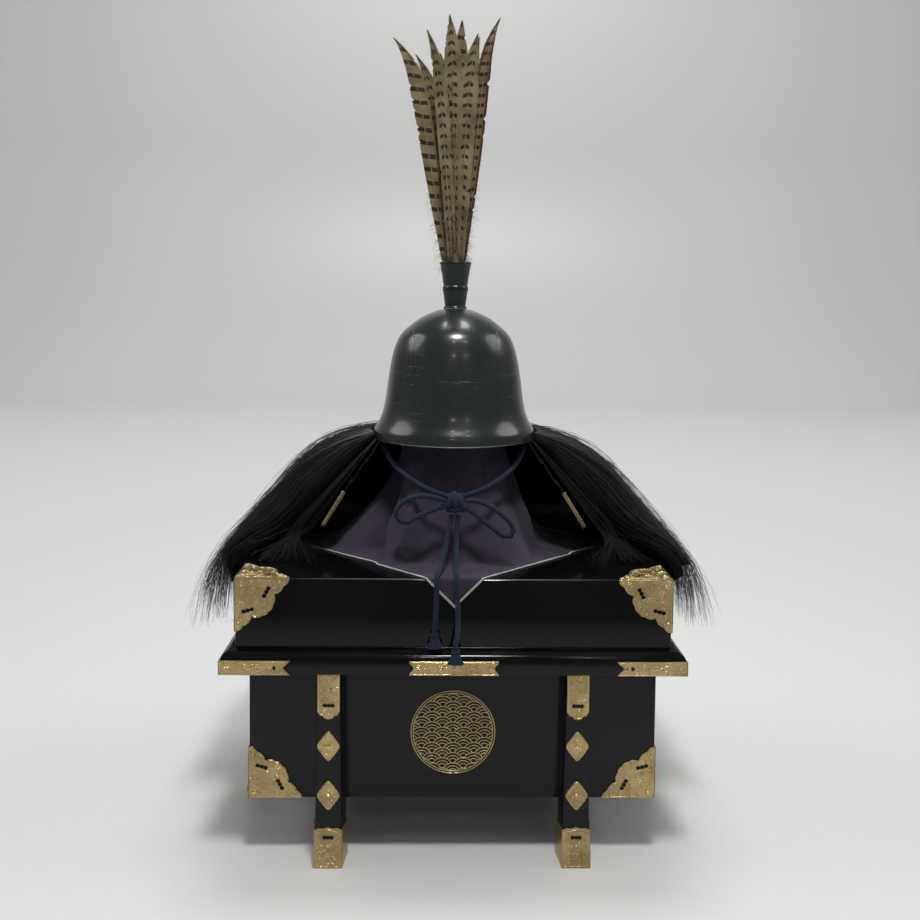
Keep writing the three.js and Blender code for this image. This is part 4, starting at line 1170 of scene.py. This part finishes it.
def hair_backing(first, last):
    """Mass of hair that the loose strands lie on, ridged in locks, painted darker than the strands as painted shade.
    """
    columns, steps = 253, 26
    share = np.linspace(0, 1, steps)
    grow = np.minimum(1, share * 3)
    rings = []
    for angle in np.linspace(first, last, columns):
        phase = (angle - first) / (last - first) * LOCKS * 2
        groove = abs(math.sin(math.pi * phase))
        fine = 0.35 * abs(math.sin(3 * math.pi * phase + 1.3))
        stop = 0.62 + 0.12 * groove + 0.05 * math.sin(phase * 2.4) + 0.03 * math.sin(phase * 7.3)
        upper = pick(hair_line(angle, 0.16, steps), share, np.minimum(share, stop))
        lower = pick(hair_line(angle, 1.7, steps), share, np.minimum(share, 0.9))
        upper[:, 0] -= (1 - 0.75 * groove - fine * 0.4) * 7 * grow
        upper = np.where((share > stop)[:, None], upper + (lower - upper) * 0.45, upper)
        loop = np.vstack([upper, lower[::-1]])
        rings.append(np.stack([*around(angle, loop[:, 0]), loop[:, 1]], axis=1))
    return swept("hair_backing", rings, shaded_hair_mass_look(), 0.3 * MM)


# Neck guard
LAMES, LAME, LAP = 4, 2.5, 8.0  # count, thickness and overlap
NECK_FLARE, NECK_DROP, NECK_OPENING = 90.0, 134.0, 67.0
NECK_SLOPE = math.hypot(NECK_FLARE, NECK_DROP)
NECK_OUT = (NECK_FLARE / NECK_SLOPE, -NECK_DROP / NECK_SLOPE)
NECK_TOP = (BOWL_RADIUS - 2 * LAME, RIM - GAP - LAME * NECK_OUT[0])


def on_neck(down, lift, angle):
    radius = NECK_TOP[0] + down * NECK_OUT[0] - lift * NECK_OUT[1]
    return (radius * math.sin(angle), -radius * math.cos(angle),
            NECK_TOP[1] + down * NECK_OUT[1] + lift * NECK_OUT[0])


EDGE_PLATE, EDGE_HALF = 64.0, 3.5  # length and half width of the gilt strips on the front edges


def squared(wave):
    """A sine or cosine pushed outwards, so that a round becomes a rounded square."""
    return math.copysign(abs(wave) ** 0.5, wave)


def neck_guard(black, gilt):
    angles = np.radians(np.linspace(NECK_OPENING, 360 - NECK_OPENING, 97))
    pitch, edge = NECK_SLOPE / LAMES, 0.6
    for k in range(LAMES):
        top, bottom = max(0.0, k * pitch - LAP), (k + 1) * pitch
        lift = k * (LAME + GAP)
        section = [(top, edge), (top + edge, 0), (bottom - edge, 0), (bottom, edge),
                   (bottom, LAME - edge), (bottom - edge, LAME), (top + edge, LAME), (top, LAME - edge)]
        rings = [[on_neck(down, lift + up, a) for down, up in section] for a in angles]
        obj = swept(f"neck_guard_lame_{k + 1}", rings, black)
        dress(smooth_by_angle(obj, 30), "black_lacquer", f"neck_lame_{k + 1}")
    middle = (LAMES - 1) * (LAME + GAP) + LAME - EDGE_HALF
    for name, side in (("left", -1), ("right", 1)):
        angle = side * math.radians(NECK_OPENING)
        away = np.array([-side * math.cos(angle), -side * math.sin(angle), 0])
        rings = [[on_neck(down, middle + EDGE_HALF * squared(math.cos(t)), angle)
                  + away * (GAP + 1.0 + squared(math.sin(t))) for t in round_turn(16)]
                 for down in np.linspace(NECK_SLOPE - EDGE_PLATE, NECK_SLOPE, 15)]
        dress(swept(f"gilt_edge_{name}", rings, gilt), "gilt_metal", f"neck_edge_{name}")


# Cloth: its folds, by angle from the front, as shares of the shoulder's radius
FOLDS = ([-180, -140, -118, -97, -72, -56, -38, -20, 0, 18, 38, 58, 76, 97, 118, 145, 180],
         [1.78, 1.9, 1.72, 2.5, 2.55, 1.9, 2.5, 1.86, 1.78, 1.8, 2.1, 1.75, 2.02, 2.35, 1.72, 1.9, 1.78])
SHOULDER, SHOULDER_RISE, POST, CLOTH_REACH, CLOTH, HEM = 83.0, 180.0, 12.0, 270.0, 2.0, 2.2


def fold_foot(degrees):
    """How far out the cloth's foot lies at an angle from the front."""
    k = max(1, int(np.searchsorted(FOLDS[0], degrees)))
    share = (degrees - FOLDS[0][k - 1]) / (FOLDS[0][k] - FOLDS[0][k - 1])
    low, high = FOLDS[1][k - 1], FOLDS[1][k]
    return SHOULDER * (low + (high - low) * (1 - math.cos(math.pi * share)) / 2)


def cloth_column(degrees, thickness):
    """Points from the hole for the post, over the shoulder and down to the lid, out to the hem."""
    angle = math.radians(degrees)
    east, north = math.sin(angle), -math.cos(angle)
    off = GAP + thickness
    shoulder, floor = LID_TOP + SHOULDER_RISE, LID_TOP + off
    hem = CLOTH_REACH / (abs(east) + abs(north))
    foot = min(fold_foot(degrees), hem - 4 * CLOTH)
    bend = SHOULDER + off
    flat = [(POST + GAP, shoulder + off), (bend - 6, shoulder + off), (bend - 1.5, shoulder + off - 1.2)]
    flat += [(bend + (foot + thickness - bend) * fall ** 1.6, shoulder + (floor - shoulder) * fall)
             for fall in np.linspace(0.03, 0.97, 14)]
    flat.append((foot + thickness + 1.5, floor + 0.6))
    points = [(r * east, r * north, z) for r, z in flat]
    face = LID_DEPTH / 2 + off
    over = hem * abs(north) - face
    if over > 0.5:
        x, y = hem * east, math.copysign(face, north)
        points += [(x, y - math.copysign(2, north), floor), (x, y, floor - 1.2),
                   (x, y, floor - 1.4 - over)]
    else:
        points += [(r * east, r * north, floor) for r in ((foot + hem) / 2, hem)]
    return np.array(points)


def along_line(points, rows):
    """Even points along a line, with the last one the hem's width beyond the others."""
    run = length_along(points)
    return pick(points, run, np.append(np.linspace(0, run[-1] - HEM, rows - 1), run[-1]))


def tucked_sides(degrees, height):
    """How far the cloth lies inwards beyond the two folds that bound its front."""
    fall = smooth_step(LID_TOP + SHOULDER_RISE, LID_TOP + 5, height)
    hang = smooth_step(LID_TOP + 1, LID_TOP + 7, height)
    press = 0
    for beyond, deep, width in ((-56 + 18 * fall ** 4 - degrees, 20 + 44 * fall, 22),
                                (degrees - 84 + 18 * fall ** 2, 10 + 50 * fall, 40)):
        beyond = np.maximum(0, beyond)
        press = press + deep * hang * (1 - np.exp(-beyond / 1.8)) * np.exp(-beyond / width)
    return press


def stand_cloth():
    columns, rows = 480, 96
    look = cloth_look("purple_cloth", (0.03, 0.024, 0.037), (0.049, 0.04, 0.06))
    hem_look = cloth_look("white_hem", (0.42, 0.41, 0.4), (0.6, 0.59, 0.57))
    turns = [-180 + 360 * c / columns for c in range(columns)]
    outer, inner = (np.array([along_line(cloth_column(degrees, thickness), rows) for degrees in turns])
                    for thickness in (CLOTH, CLOTH - 1.3))
    # Small creases run down the hanging part; they only go inwards, clear of the cord
    height = outer[..., 2]
    angle = np.arctan2(outer[..., 0], -outer[..., 1])
    hang = smooth_step(LID_TOP + 4, LID_TOP + 40, height) * smooth_step(598, 560, height)
    fine = (np.sin(angle * 23 + height * 0.012) + 0.6 * np.sin(angle * 41 - height * 0.03 + 1)
            + 0.5 * np.sin(angle * 9 + height * 0.05)) / 2.1
    press = (1 - fine) * 1.6 * hang + tucked_sides(np.degrees(angle), height)
    radius = np.hypot(outer[..., 0], outer[..., 1])
    press = np.clip(press, 0, np.maximum(0, radius - SHOULDER - 4))
    for sheet in (outer, inner):
        sheet[..., :2] *= (1 - press / radius)[..., None]
    hem_rows = 2
    cut = rows - hem_rows
    cloth = cloth_solid("draped_cloth", outer[:, :cut + 1], inner[:, :cut + 1], look)
    raised = outer[:, cut:] + (outer[:, cut:] - inner[:, cut:]) * 0.12
    hem = cloth_solid("white_hem_band", raised, inner[:, cut:], hem_look)
    dress(cloth, "purple_cloth", "stand_cloth")
    dress(hem, "purple_cloth")
    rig.sheet(cloth, flat=(0.56, 0.56), held="draped", rests_on=["stand", "chest_lid"],
             area=0.3, with_pieces=[hem])


def cloth_solid(name, outer, inner, look):
    """A thin closed solid round the middle, from its outer and inner faces, column by column."""
    loop = np.concatenate([outer, inner[:, ::-1]], axis=1)
    columns, wide = loop.shape[:2]
    faces, _ = ring_faces(columns, wide)
    last = (columns - 1) * wide
    faces += [[last + k, last + (k + 1) % wide, (k + 1) % wide, k] for k in range(wide)]
    # Laid flat, a point's place on the cloth is its run from the post and its angle
    run = length_along(outer[0])
    run = np.concatenate([run, run[::-1]])
    turn = np.arange(columns) / columns * 2 * math.pi
    pairs = np.stack([np.outer(side(turn), run) * MM for side in (np.sin, np.cos)], -1).reshape(-1, 2)
    obj = piece(name, loop.reshape(-1, 3), faces, look, [pairs[i] for face in faces for i in face])
    with reworked(obj) as work:
        bmesh.ops.recalc_face_normals(work, faces=work.faces)
    return smooth_by_angle(obj, 50)


# Chest
def refined(node, look, slot, width=1.4, segments=3):
    """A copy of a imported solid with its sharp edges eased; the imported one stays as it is."""
    obj = merge(placed(node + "_eased", frame["nodes"][node].data.copy()), 0.01 * MM)
    ease = obj.modifiers.new("ease", "BEVEL")
    ease.width, ease.segments, ease.limit_method = width * MM, segments, "ANGLE"
    ease.angle_limit, ease.use_clamp_overlap = math.radians(28), True
    made = applied(obj)
    obj.modifiers.clear()
    obj.data = made
    made.name = obj.name
    made.materials.clear()
    made.materials.append(look)
    dress(smooth_by_angle(obj, 32), slot, node)


def lobed(points, bulge=0.16, steps=6):
    """Rounds each stretch of an outline outwards, so that the corners between become cusps."""
    points = np.asarray(points, float)
    made = []
    for a, b in zip(points[:-1], points[1:]):
        way = b - a
        out = np.array([way[1], -way[0]])
        for s in np.linspace(0, 1, steps, endpoint=False):
            made.append(a + way * s + out * bulge * 4 * s * (1 - s))
    made.append(points[-1])
    return np.array(made)


def inside(point, outline):
    x, y = point
    odd = False
    for (x1, y1), (x2, y2) in zip(outline, np.roll(outline, -1, axis=0)):
        if (y1 > y) != (y2 > y) and x < (x2 - x1) * (y - y1) / (y2 - y1) + x1:
            odd = not odd
    return odd


def far_from(point, outline):
    """Distance from a point to an outline."""
    a, b = np.asarray(outline), np.roll(outline, -1, axis=0)
    way = b - a
    size = np.maximum(1e-9, (way ** 2).sum(axis=1))
    share = np.clip(((point - a) * way).sum(axis=1) / size, 0, 1)
    return np.linalg.norm(a + way * share[:, None] - point, axis=1).min()


# Lines and beads of the engraving, gathered from every plate in millimetres
SCROLLS, BEADS = [], []
SCROLL_POINTS, SCROLL_RADIUS = 12, 0.72
BORDER = 2.4  # kept free of curls along the edges of a plate
TRIES = 900  # how often free places are looked for on a plate
EDGE_INSET, EDGE_PITCH = 1.7, 2.2  # the raised line's way in from a plate's edge, and its points
SHEET = 1.2  # thickness of a gilt plate
WRAP = FACE = GAP + SHEET  # from the chest to the outside of a plate


class Plane:
    """A flat place on the chest: u and v run along it and out is its normal, in millimetres."""

    def __init__(self, origin, u, v, out):
        self.origin, self.u, self.v, self.out = (np.asarray(k, float) for k in (origin, u, v, out))

    def put(self, points, height=0.0):
        points = np.asarray(points, float)
        return (self.origin + points[:, :1] * self.u + points[:, 1:2] * self.v
                + (points[:, 2:3] if points.shape[1] > 2 else 0) * self.out + height * self.out)


def cut_plate(outline, holes, thickness, edge=0.3):
    """Points and faces of a flat plate with eased upper edges and pierced holes."""
    points, faces, lows, tops = [], [], [], []
    for ring, hole in [(outline, False), *[(hole, True) for hole in holes]]:
        ring = np.asarray(ring, float)
        ring = ring[np.linalg.norm(ring - np.roll(ring, 1, axis=0), axis=1) > 0.05]
        if (signed_area(ring) > 0) == hole:
            ring = ring[::-1]
        ahead = unit(np.roll(ring, -1, axis=0) - ring)
        inset = ring + left_of(unit(ahead + np.roll(ahead, 1, axis=0), 0.2)) * edge
        count, first = len(ring), len(points)
        for level, height in ((ring, 0), (ring, thickness - edge), (inset, thickness)):
            points += [(x, y, height) for x, y in level]
        for i in range(count):
            j = (i + 1) % count
            for k in (first, first + count):
                faces.append([k + i, k + j, k + j + count, k + i + count])
        lows.append(list(range(first, first + count)))
        tops.append(list(range(first + 2 * count, first + 3 * count)))
    for level in (lows, tops):
        order = [i for ring in level for i in ring]
        cells = tessellate_polygon([[Vector((*points[i][:2], 0)) for i in ring] for ring in level])
        faces += [[order[i] for i in cell] for cell in cells]
    return np.array(points), faces


def fitting(name, plates, look, *node):
    """Gilt plates in one piece: each has its plane, outline, holes and thickness."""
    made = []
    for plane, outline, holes, thickness in plates:
        points, faces = cut_plate(outline, holes, thickness)
        made.append((plane.put(points, GAP), faces))
    obj = merge(piece(name, *joined(made), look), 0.01 * MM)
    dress(smooth_by_angle(obj, 35), "gilt_metal", *node)


def curl_places(rng, outline, walls, room, curls, size):
    """Middles and reaches of curls that fit inside an outline, beside each other and the holes."""
    low, high = outline.min(axis=0), outline.max(axis=0)
    found = []
    for _ in range(TRIES):
        if len(found) == curls:
            break
        p = np.array([rng.uniform(low[0], high[0]), rng.uniform(low[1], high[1])])
        free = room(p) - BORDER
        if not inside(p, outline) or any(inside(p, hole) for hole in walls[1:]) or free < BORDER:
            continue
        reach = min(free, size * rng.uniform(0.6, 1.0))
        if all(np.linalg.norm(p - q) > 0.85 * (reach + r) for q, r in found):
            found.append((p, reach))
    return found


def edge_line(outline):
    """A line inside an outline and along it; where there is no room it draws in to the middle."""
    closed = np.vstack([outline, outline[:1]])
    run = length_along(closed)
    line = pick(closed, run, np.linspace(0, run[-1], max(18, int(run[-1] / EDGE_PITCH))))
    turn = 1 if signed_area(outline) > 0 else -1
    inset = line + turn * left_of(unit(np.gradient(line, axis=0))) * EDGE_INSET
    keep = [far_from(q, outline) > 1.3 and inside(q, outline) for q in inset]
    return np.where(np.array(keep)[:, None], inset, line + (outline.mean(axis=0) - line) * 0.05)


def stretched(line, count):
    """A line's points spread out or drawn in to another count."""
    return pick(line, np.arange(len(line)), np.linspace(0, len(line) - 1, count))


def engrave(plane, outline, holes, height, seed, curls, size):
    """Raised vine scrolls inside a plate's outline, and a raised line along its edge."""
    rng = random.Random(seed)
    outline = np.asarray(outline, float)
    walls = [outline, *[np.asarray(hole, float) for hole in holes]]
    room = lambda p: min(far_from(p, wall) for wall in walls)
    t = np.linspace(0, 1, SCROLL_POINTS)
    for p, reach in curl_places(rng, outline, walls, room, curls, size):
        start, way = rng.uniform(0, 6.28), rng.choice((-1, 1))
        curl = p + polar(reach * (1 - 0.86 * t), start + way * t * 3.0 * math.pi)
        SCROLLS.append(plane.put(curl, height))
        for k in range(2):
            a = start + way * (k * 2.6 + 0.8)
            tip, side = p + polar(reach * 1.05, a), polar(1.0, a + way * 0.9)
            leaf = np.array([tip - side * 1.4 + (tip - p) * (0.22 * math.sin(math.pi * s) - 0.1)
                             + side * 2.8 * s for s in t])
            if all(room(q) > 0.9 and inside(q, outline) for q in leaf[::4]):
                SCROLLS.append(plane.put(leaf, height))
    line = edge_line(outline)
    for k in range(0, len(line) - 1, SCROLL_POINTS - 1):
        part = line[k:k + SCROLL_POINTS]
        if len(part) > 2:
            SCROLLS.append(plane.put(stretched(part, SCROLL_POINTS), height))


def signed_area(outline):
    x, y = np.asarray(outline).T
    return 0.5 * float(np.dot(x, np.roll(y, -1)) - np.dot(y, np.roll(x, -1)))


def bead_row(plane, spots, size, height=FACE):
    for p in plane.put(np.asarray(spots, float), height):
        BEADS.append((*p, size))


def dots_hole(x, y, angle, dot=3.2, pitch=6.1):
    """Three overlapping round holes in a row, as one outline."""
    turn = math.radians(angle)
    half = math.asin(min(1, math.sqrt(dot * dot - (pitch / 2) ** 2) / dot))
    ring = []
    for side in (1, -1):
        for k in (side, 0, -side):
            start = 0 if k == side else half
            stop = math.pi if k == -side else math.pi - half
            ring.append((k * pitch, 0) + side * polar(dot, np.linspace(start, stop, 8)))
    spin = np.array([[math.cos(turn), math.sin(turn)], [-math.sin(turn), math.cos(turn)]])
    return np.vstack(ring) @ spin + (x, y)


SCALLOPS = [(1, 0), (0.9, 0.14), (0.72, 0.3), (0.7, 0.5), (0.62, 0.62), (0.5, 0.7), (0.3, 0.72),
            (0.14, 0.9), (0, 1)]


def corner_outline(wrap):
    curve = lobed(np.array(SCALLOPS) * CORNER)
    curve[0, 1], curve[-1, 0] = -wrap, -WRAP
    return np.vstack([curve, [(-WRAP, -wrap)]])


def corner_plate(plane, seed, wrap):
    outline = corner_outline(wrap)
    holes = [dots_hole(45, 20, -62), dots_hole(18, 47, -15)]
    engrave(plane, outline, holes, FACE, seed, 24, 6.2)
    edge = lobed(np.array(SCALLOPS) * (CORNER - 5.5), steps=3)[1:-1]
    bead_row(plane, edge[::2], 1.35)
    bead_row(plane, [(9, 9), (CORNER - 14, 5), (5, CORNER - 14)], 2.6)
    return plane, outline, holes, SHEET


def chest_fittings(gilt):
    kinds = [  # box and level of the corners, which way is up on their plates, seed and plate
        ("lid", LID_WIDTH, LID_DEPTH, LID_TOP, -1, 0, corner_plate, [WRAP]),
        ("body", BODY_WIDTH, BODY_DEPTH, BODY_BOTTOM, 1, 200, corner_plate, [0]),
        ("flange", FLANGE_WIDTH, FLANGE_DEPTH, FLANGE_BOTTOM, 1, 400, flange_band, []),
    ]
    for left, x in (("left", -1), ("right", 1)):
        for front, y in (("front", -1), ("back", 1)):
            for kind, width, depth, level, up, seed, plate, more in kinds:
                corner = (x * width / 2, y * depth / 2, level)
                planes = [Plane(corner, (-x, 0, 0), (0, 0, up), (0, y, 0)),
                          Plane(corner, (0, -y, 0), (0, 0, up), (x, 0, 0))]
                if kind == "lid":
                    planes.append(Plane(corner, (-x, 0, 0), (0, -y, 0), (0, 0, 1)))
                seed += 10 * (x + 2) + y
                node = f"{kind}_corner_{front}_{left}"
                fitting(node + "_gilt", [plate(plane, seed + k * 40, *more)
                                         for k, plane in enumerate(planes)], gilt, node)
    middle = FLANGE_BAND / 2
    for front, y in (("front", -1), ("back", 1)):
        plane = Plane((0, y * FLANGE_DEPTH / 2, FLANGE_BOTTOM), (1, 0, 0), (0, 0, 1), (0, y, 0))
        end = [(64, 0), (60.2, 6.3), (56.3, middle), (60.2, 14.7), (64, FLANGE_BAND)]
        outline = mirrored(lobed(end, 0.2), shared=0)
        engrave(plane, outline, [], FACE, 700 + y, 26, 5.0)
        bead_row(plane, [(x, middle) for x in (-52, -26, 0, 26, 52)], 2.2)
        node = f"flange_plate_{front}"
        fitting(node + "_gilt", [(plane, outline, [], SHEET)], gilt, node)


def flange_band(plane, seed):
    """A strip with a fishtail end and a pierced heart."""
    length, middle = 101.0, FLANGE_BAND / 2
    outline = np.array([(-WRAP, 0), (length, 0), (length - middle, middle),
                        (length, FLANGE_BAND), (-WRAP, FLANGE_BAND)])
    t = round_turn(30)
    wide = 13 * np.cos(t) - 5 * np.cos(2 * t) - 2 * np.cos(3 * t) - np.cos(4 * t)
    heart = (length - 2.2 * middle, middle) + 0.2 * np.stack([wide, 16 * np.sin(t) ** 3], axis=1)
    engrave(plane, outline, [heart], FACE, seed, 20, 5.0)
    bead_row(plane, [(8, middle), (44, middle), (72, middle)], 2.0)
    return plane, outline, [heart], SHEET


# Legs
LEGS = {"front_left": (-180, -BODY_DEPTH / 2, 0), "front_right": (180, -BODY_DEPTH / 2, 0),
        "right": (BODY_WIDTH / 2, 0, 90), "back_right": (180, BODY_DEPTH / 2, 180),
        "back_left": (-180, BODY_DEPTH / 2, 180), "left": (-BODY_WIDTH / 2, 0, -90)}
LEG_WIDTH, LEG_FOOT, LEG_DEPTH, LEG_FLARE = 32.0, 39.0, 30.0, 9.0
LEG_TOP, SHOE_HEIGHT, CAP_HEIGHT = FLANGE_BOTTOM - GAP, 58.0, 67.0
LOZENGE = [(1, 0), (0.86, 0.24), (0.62, 0.48), (0.36, 0.74), (0, 1)]


def leg_plane(name, level):
    """The front face of a leg at a level, with u across it and v up it."""
    x, y, angle = LEGS[name]
    c, s = math.cos(math.radians(angle)), math.sin(math.radians(angle))
    out = LEG_DEPTH + GAP
    return Plane((x + out * s, y - out * c, level), (c, s, 0), (0, 0, 1), (s, -c, 0))


def mirrored(points, shared=1):
    """Points and their mirror image across u; the shared ones lie on the middle line."""
    points = np.asarray(points, float)
    return np.vstack([points, points[::-1][shared:] * (-1, 1)])


def leg_fittings(gilt, dark):
    half = LEG_WIDTH / 2
    lobes = np.array([(0, 0), (0.36, 0.02), (0.6, 0.09), (0.8, 0.08), (1, 0.17)]) * (half, CAP_HEIGHT)
    cap = np.vstack([[(half, CAP_HEIGHT)], mirrored(lobed(lobes, -0.14)[::-1]), [(-half, CAP_HEIGHT)]])
    hole = dots_hole(0, CAP_HEIGHT * 0.31, 0, 3.2, 5.6)
    top = mirrored(lobed(np.array(LOZENGE) * (16.0, 21.6), 0.12))
    lozenge = np.vstack([top, top[::-1][1:-1] * (1, -1)])
    ring = polar(5.6, np.linspace(0, 6.28, 9)[:-1])
    thick = 1.9
    for k, name in enumerate(LEGS):
        plane = leg_plane(name, LEG_TOP - CAP_HEIGHT)
        engrave(plane, cap, [hole], FACE, 900 + k, 16, 5.0)
        bead_row(plane, [(0, CAP_HEIGHT * 0.94), (0, CAP_HEIGHT * 0.09)], 1.6)
        fitting(f"leg_cap_{name}_gilt", [(plane, cap, [hole], SHEET)], gilt, f"leg_cap_{name}")
        for level in (104, 177):
            plane = leg_plane(name, level)
            fitting(f"lozenge_{name}_{level}", [(plane, lozenge, [], thick)], gilt)
            engrave(plane, lozenge, [], GAP + thick, 950 + k + level, 6, 5.0)
            bead_row(plane, [(0, 0)], 3.6, GAP + thick)
            bead_row(plane, ring, 1.15, GAP + thick)
        shoe_scrolls(name, 1000 + k, dark)


def shoe_scrolls(name, seed, dark):
    """Engraving on the front of a leg's gilt shoe, round a dark mark like a pierced hole."""
    plane = leg_plane(name, 0)
    half = LEG_FOOT / 2 - 0.6
    outline = np.array([(-half, 1), (half, 1), (half - 0.4, 51), (0, 56), (-half + 0.4, 51)])
    mark = dots_hole(0, 43, 0, 3.0, 5.2)
    before = len(SCROLLS)
    engrave(plane, outline, [mark], 0, seed, 18, 5.5)
    knots = np.array([0, SHOE_HEIGHT / 2, SHOE_HEIGHT])
    flare = LEG_FLARE * (1 - knots / (2 * SHOE_HEIGHT)) ** 2
    on_shoe = lambda points, off: points + (np.interp(points[:, 2:], knots, flare) + off) * plane.out
    front = 1.65  # of the shoe, beyond the leg at its foot
    SCROLLS[before:] = [on_shoe(line, front) for line in SCROLLS[before:]]
    for spot in ((0, 31), (-11, 14), (11, 14)):
        BEADS.append((*on_shoe(plane.put([spot]), front)[0], 2.2))
    points, faces = cut_plate(mark, [], 0.5, 0.1)
    flat = plane.put(points[:, :2]) + points[:, 2:] * plane.out
    marks = piece(f"shoe_mark_{name}", on_shoe(flat, front - 0.2), faces, dark, smooth=False)
    dress(marks, "black_lacquer")


ROUNDEL, SCALE, ROUNDEL_POINTS = 62.0, 15.5, 14  # radii, and points along each line


def scale_lines(x, y):
    """The rings of one wave scale, cut where the scales in front of it or the rim cover them."""
    for ring in (1.0, 0.72, 0.44):
        part = []
        for a in [*np.linspace(0, math.pi, 40), None]:
            if a is not None:
                p = (x, y) + polar(ring * SCALE, a)
                covered = any(math.hypot(p[0] - x - dx * SCALE, p[1] - y + dy * SCALE) < SCALE * 0.995
                              for dx, dy in ((-1, 0.5), (1, 0.5), (0, 1)))
                if not covered and math.hypot(*p) <= ROUNDEL - 3.5:
                    part.append(p)
                    continue
            if len(part) > 4:
                yield part
            part = []


def wave_roundel():
    """A round ornament of overlapping wave scales on the front of the body, in thin gold lines."""
    gold = gilt_look("gold_lines", (0.72, 0.56, 0.27), 0.3, 0.0)
    plane = Plane((0, -BODY_DEPTH / 2, 184), (1, 0, 0), (0, 0, 1), (0, -1, 0))
    lines = []
    for row in range(-9, 10):
        for column in range(-5, 6):
            lines += scale_lines((column + 0.5 * (row % 2)) * 2 * SCALE, row * SCALE * 0.5)
    for radius in (ROUNDEL, ROUNDEL - 3.2):
        for k in range(12):
            turn = np.linspace(k * math.pi / 6, (k + 1) * math.pi / 6 + 0.01, ROUNDEL_POINTS)
            lines.append(polar(radius, turn))
    even = [plane.put(stretched(line, ROUNDEL_POINTS), -0.35) for line in lines]
    dress(strands("wave_roundel", even, 0.8, 0.5, gold, sides=6), "gilt_metal")


def engraving():
    gilt = gilt_look("polished_gilt", (0.82, 0.66, 0.34), 0.24, 0.0)
    half = (len(SCROLLS) + 1) // 2
    for k in range(2):
        lines = SCROLLS[k * half:(k + 1) * half]
        dress(strands(f"engraved_scrolls_{k + 1}", lines, SCROLL_RADIUS, 0.5, gilt), "gilt_metal")
    beads = np.array(BEADS)
    dress(studs("gilt_rivets", beads[:, :3], beads[:, 3], gilt), "gilt_metal")


def chest():
    black = black_lacquer_look()
    gilt = gilt_look()
    refined("chest_body", black, "black_lacquer", 1.2)
    refined("chest_lid", black, "black_lacquer", 1.6, 4)
    for name in LEGS:
        refined(f"leg_{name}", black, "black_lacquer", 1.0)
        refined(f"shoe_{name}", gilt, "gilt_metal", 0.4, 2)
    chest_fittings(gilt)
    leg_fittings(gilt, black)
    engraving()
    wave_roundel()
    neck_guard(black, gilt)


cords()
helmet_bowl()
plume_holder()
chest()
stand_cloth()
hair()
plume()
stand_wood = wood_look()
for place in frame["nodes"]["stand"].material_slots:
    place.material = stand_wood

with open("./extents.json", "w") as kept:
    json.dump({"cad": [list(map(float, corner)) for corner in cad_box],
               "visual": [list(map(float, corner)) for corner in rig.bounds()]}, kept)
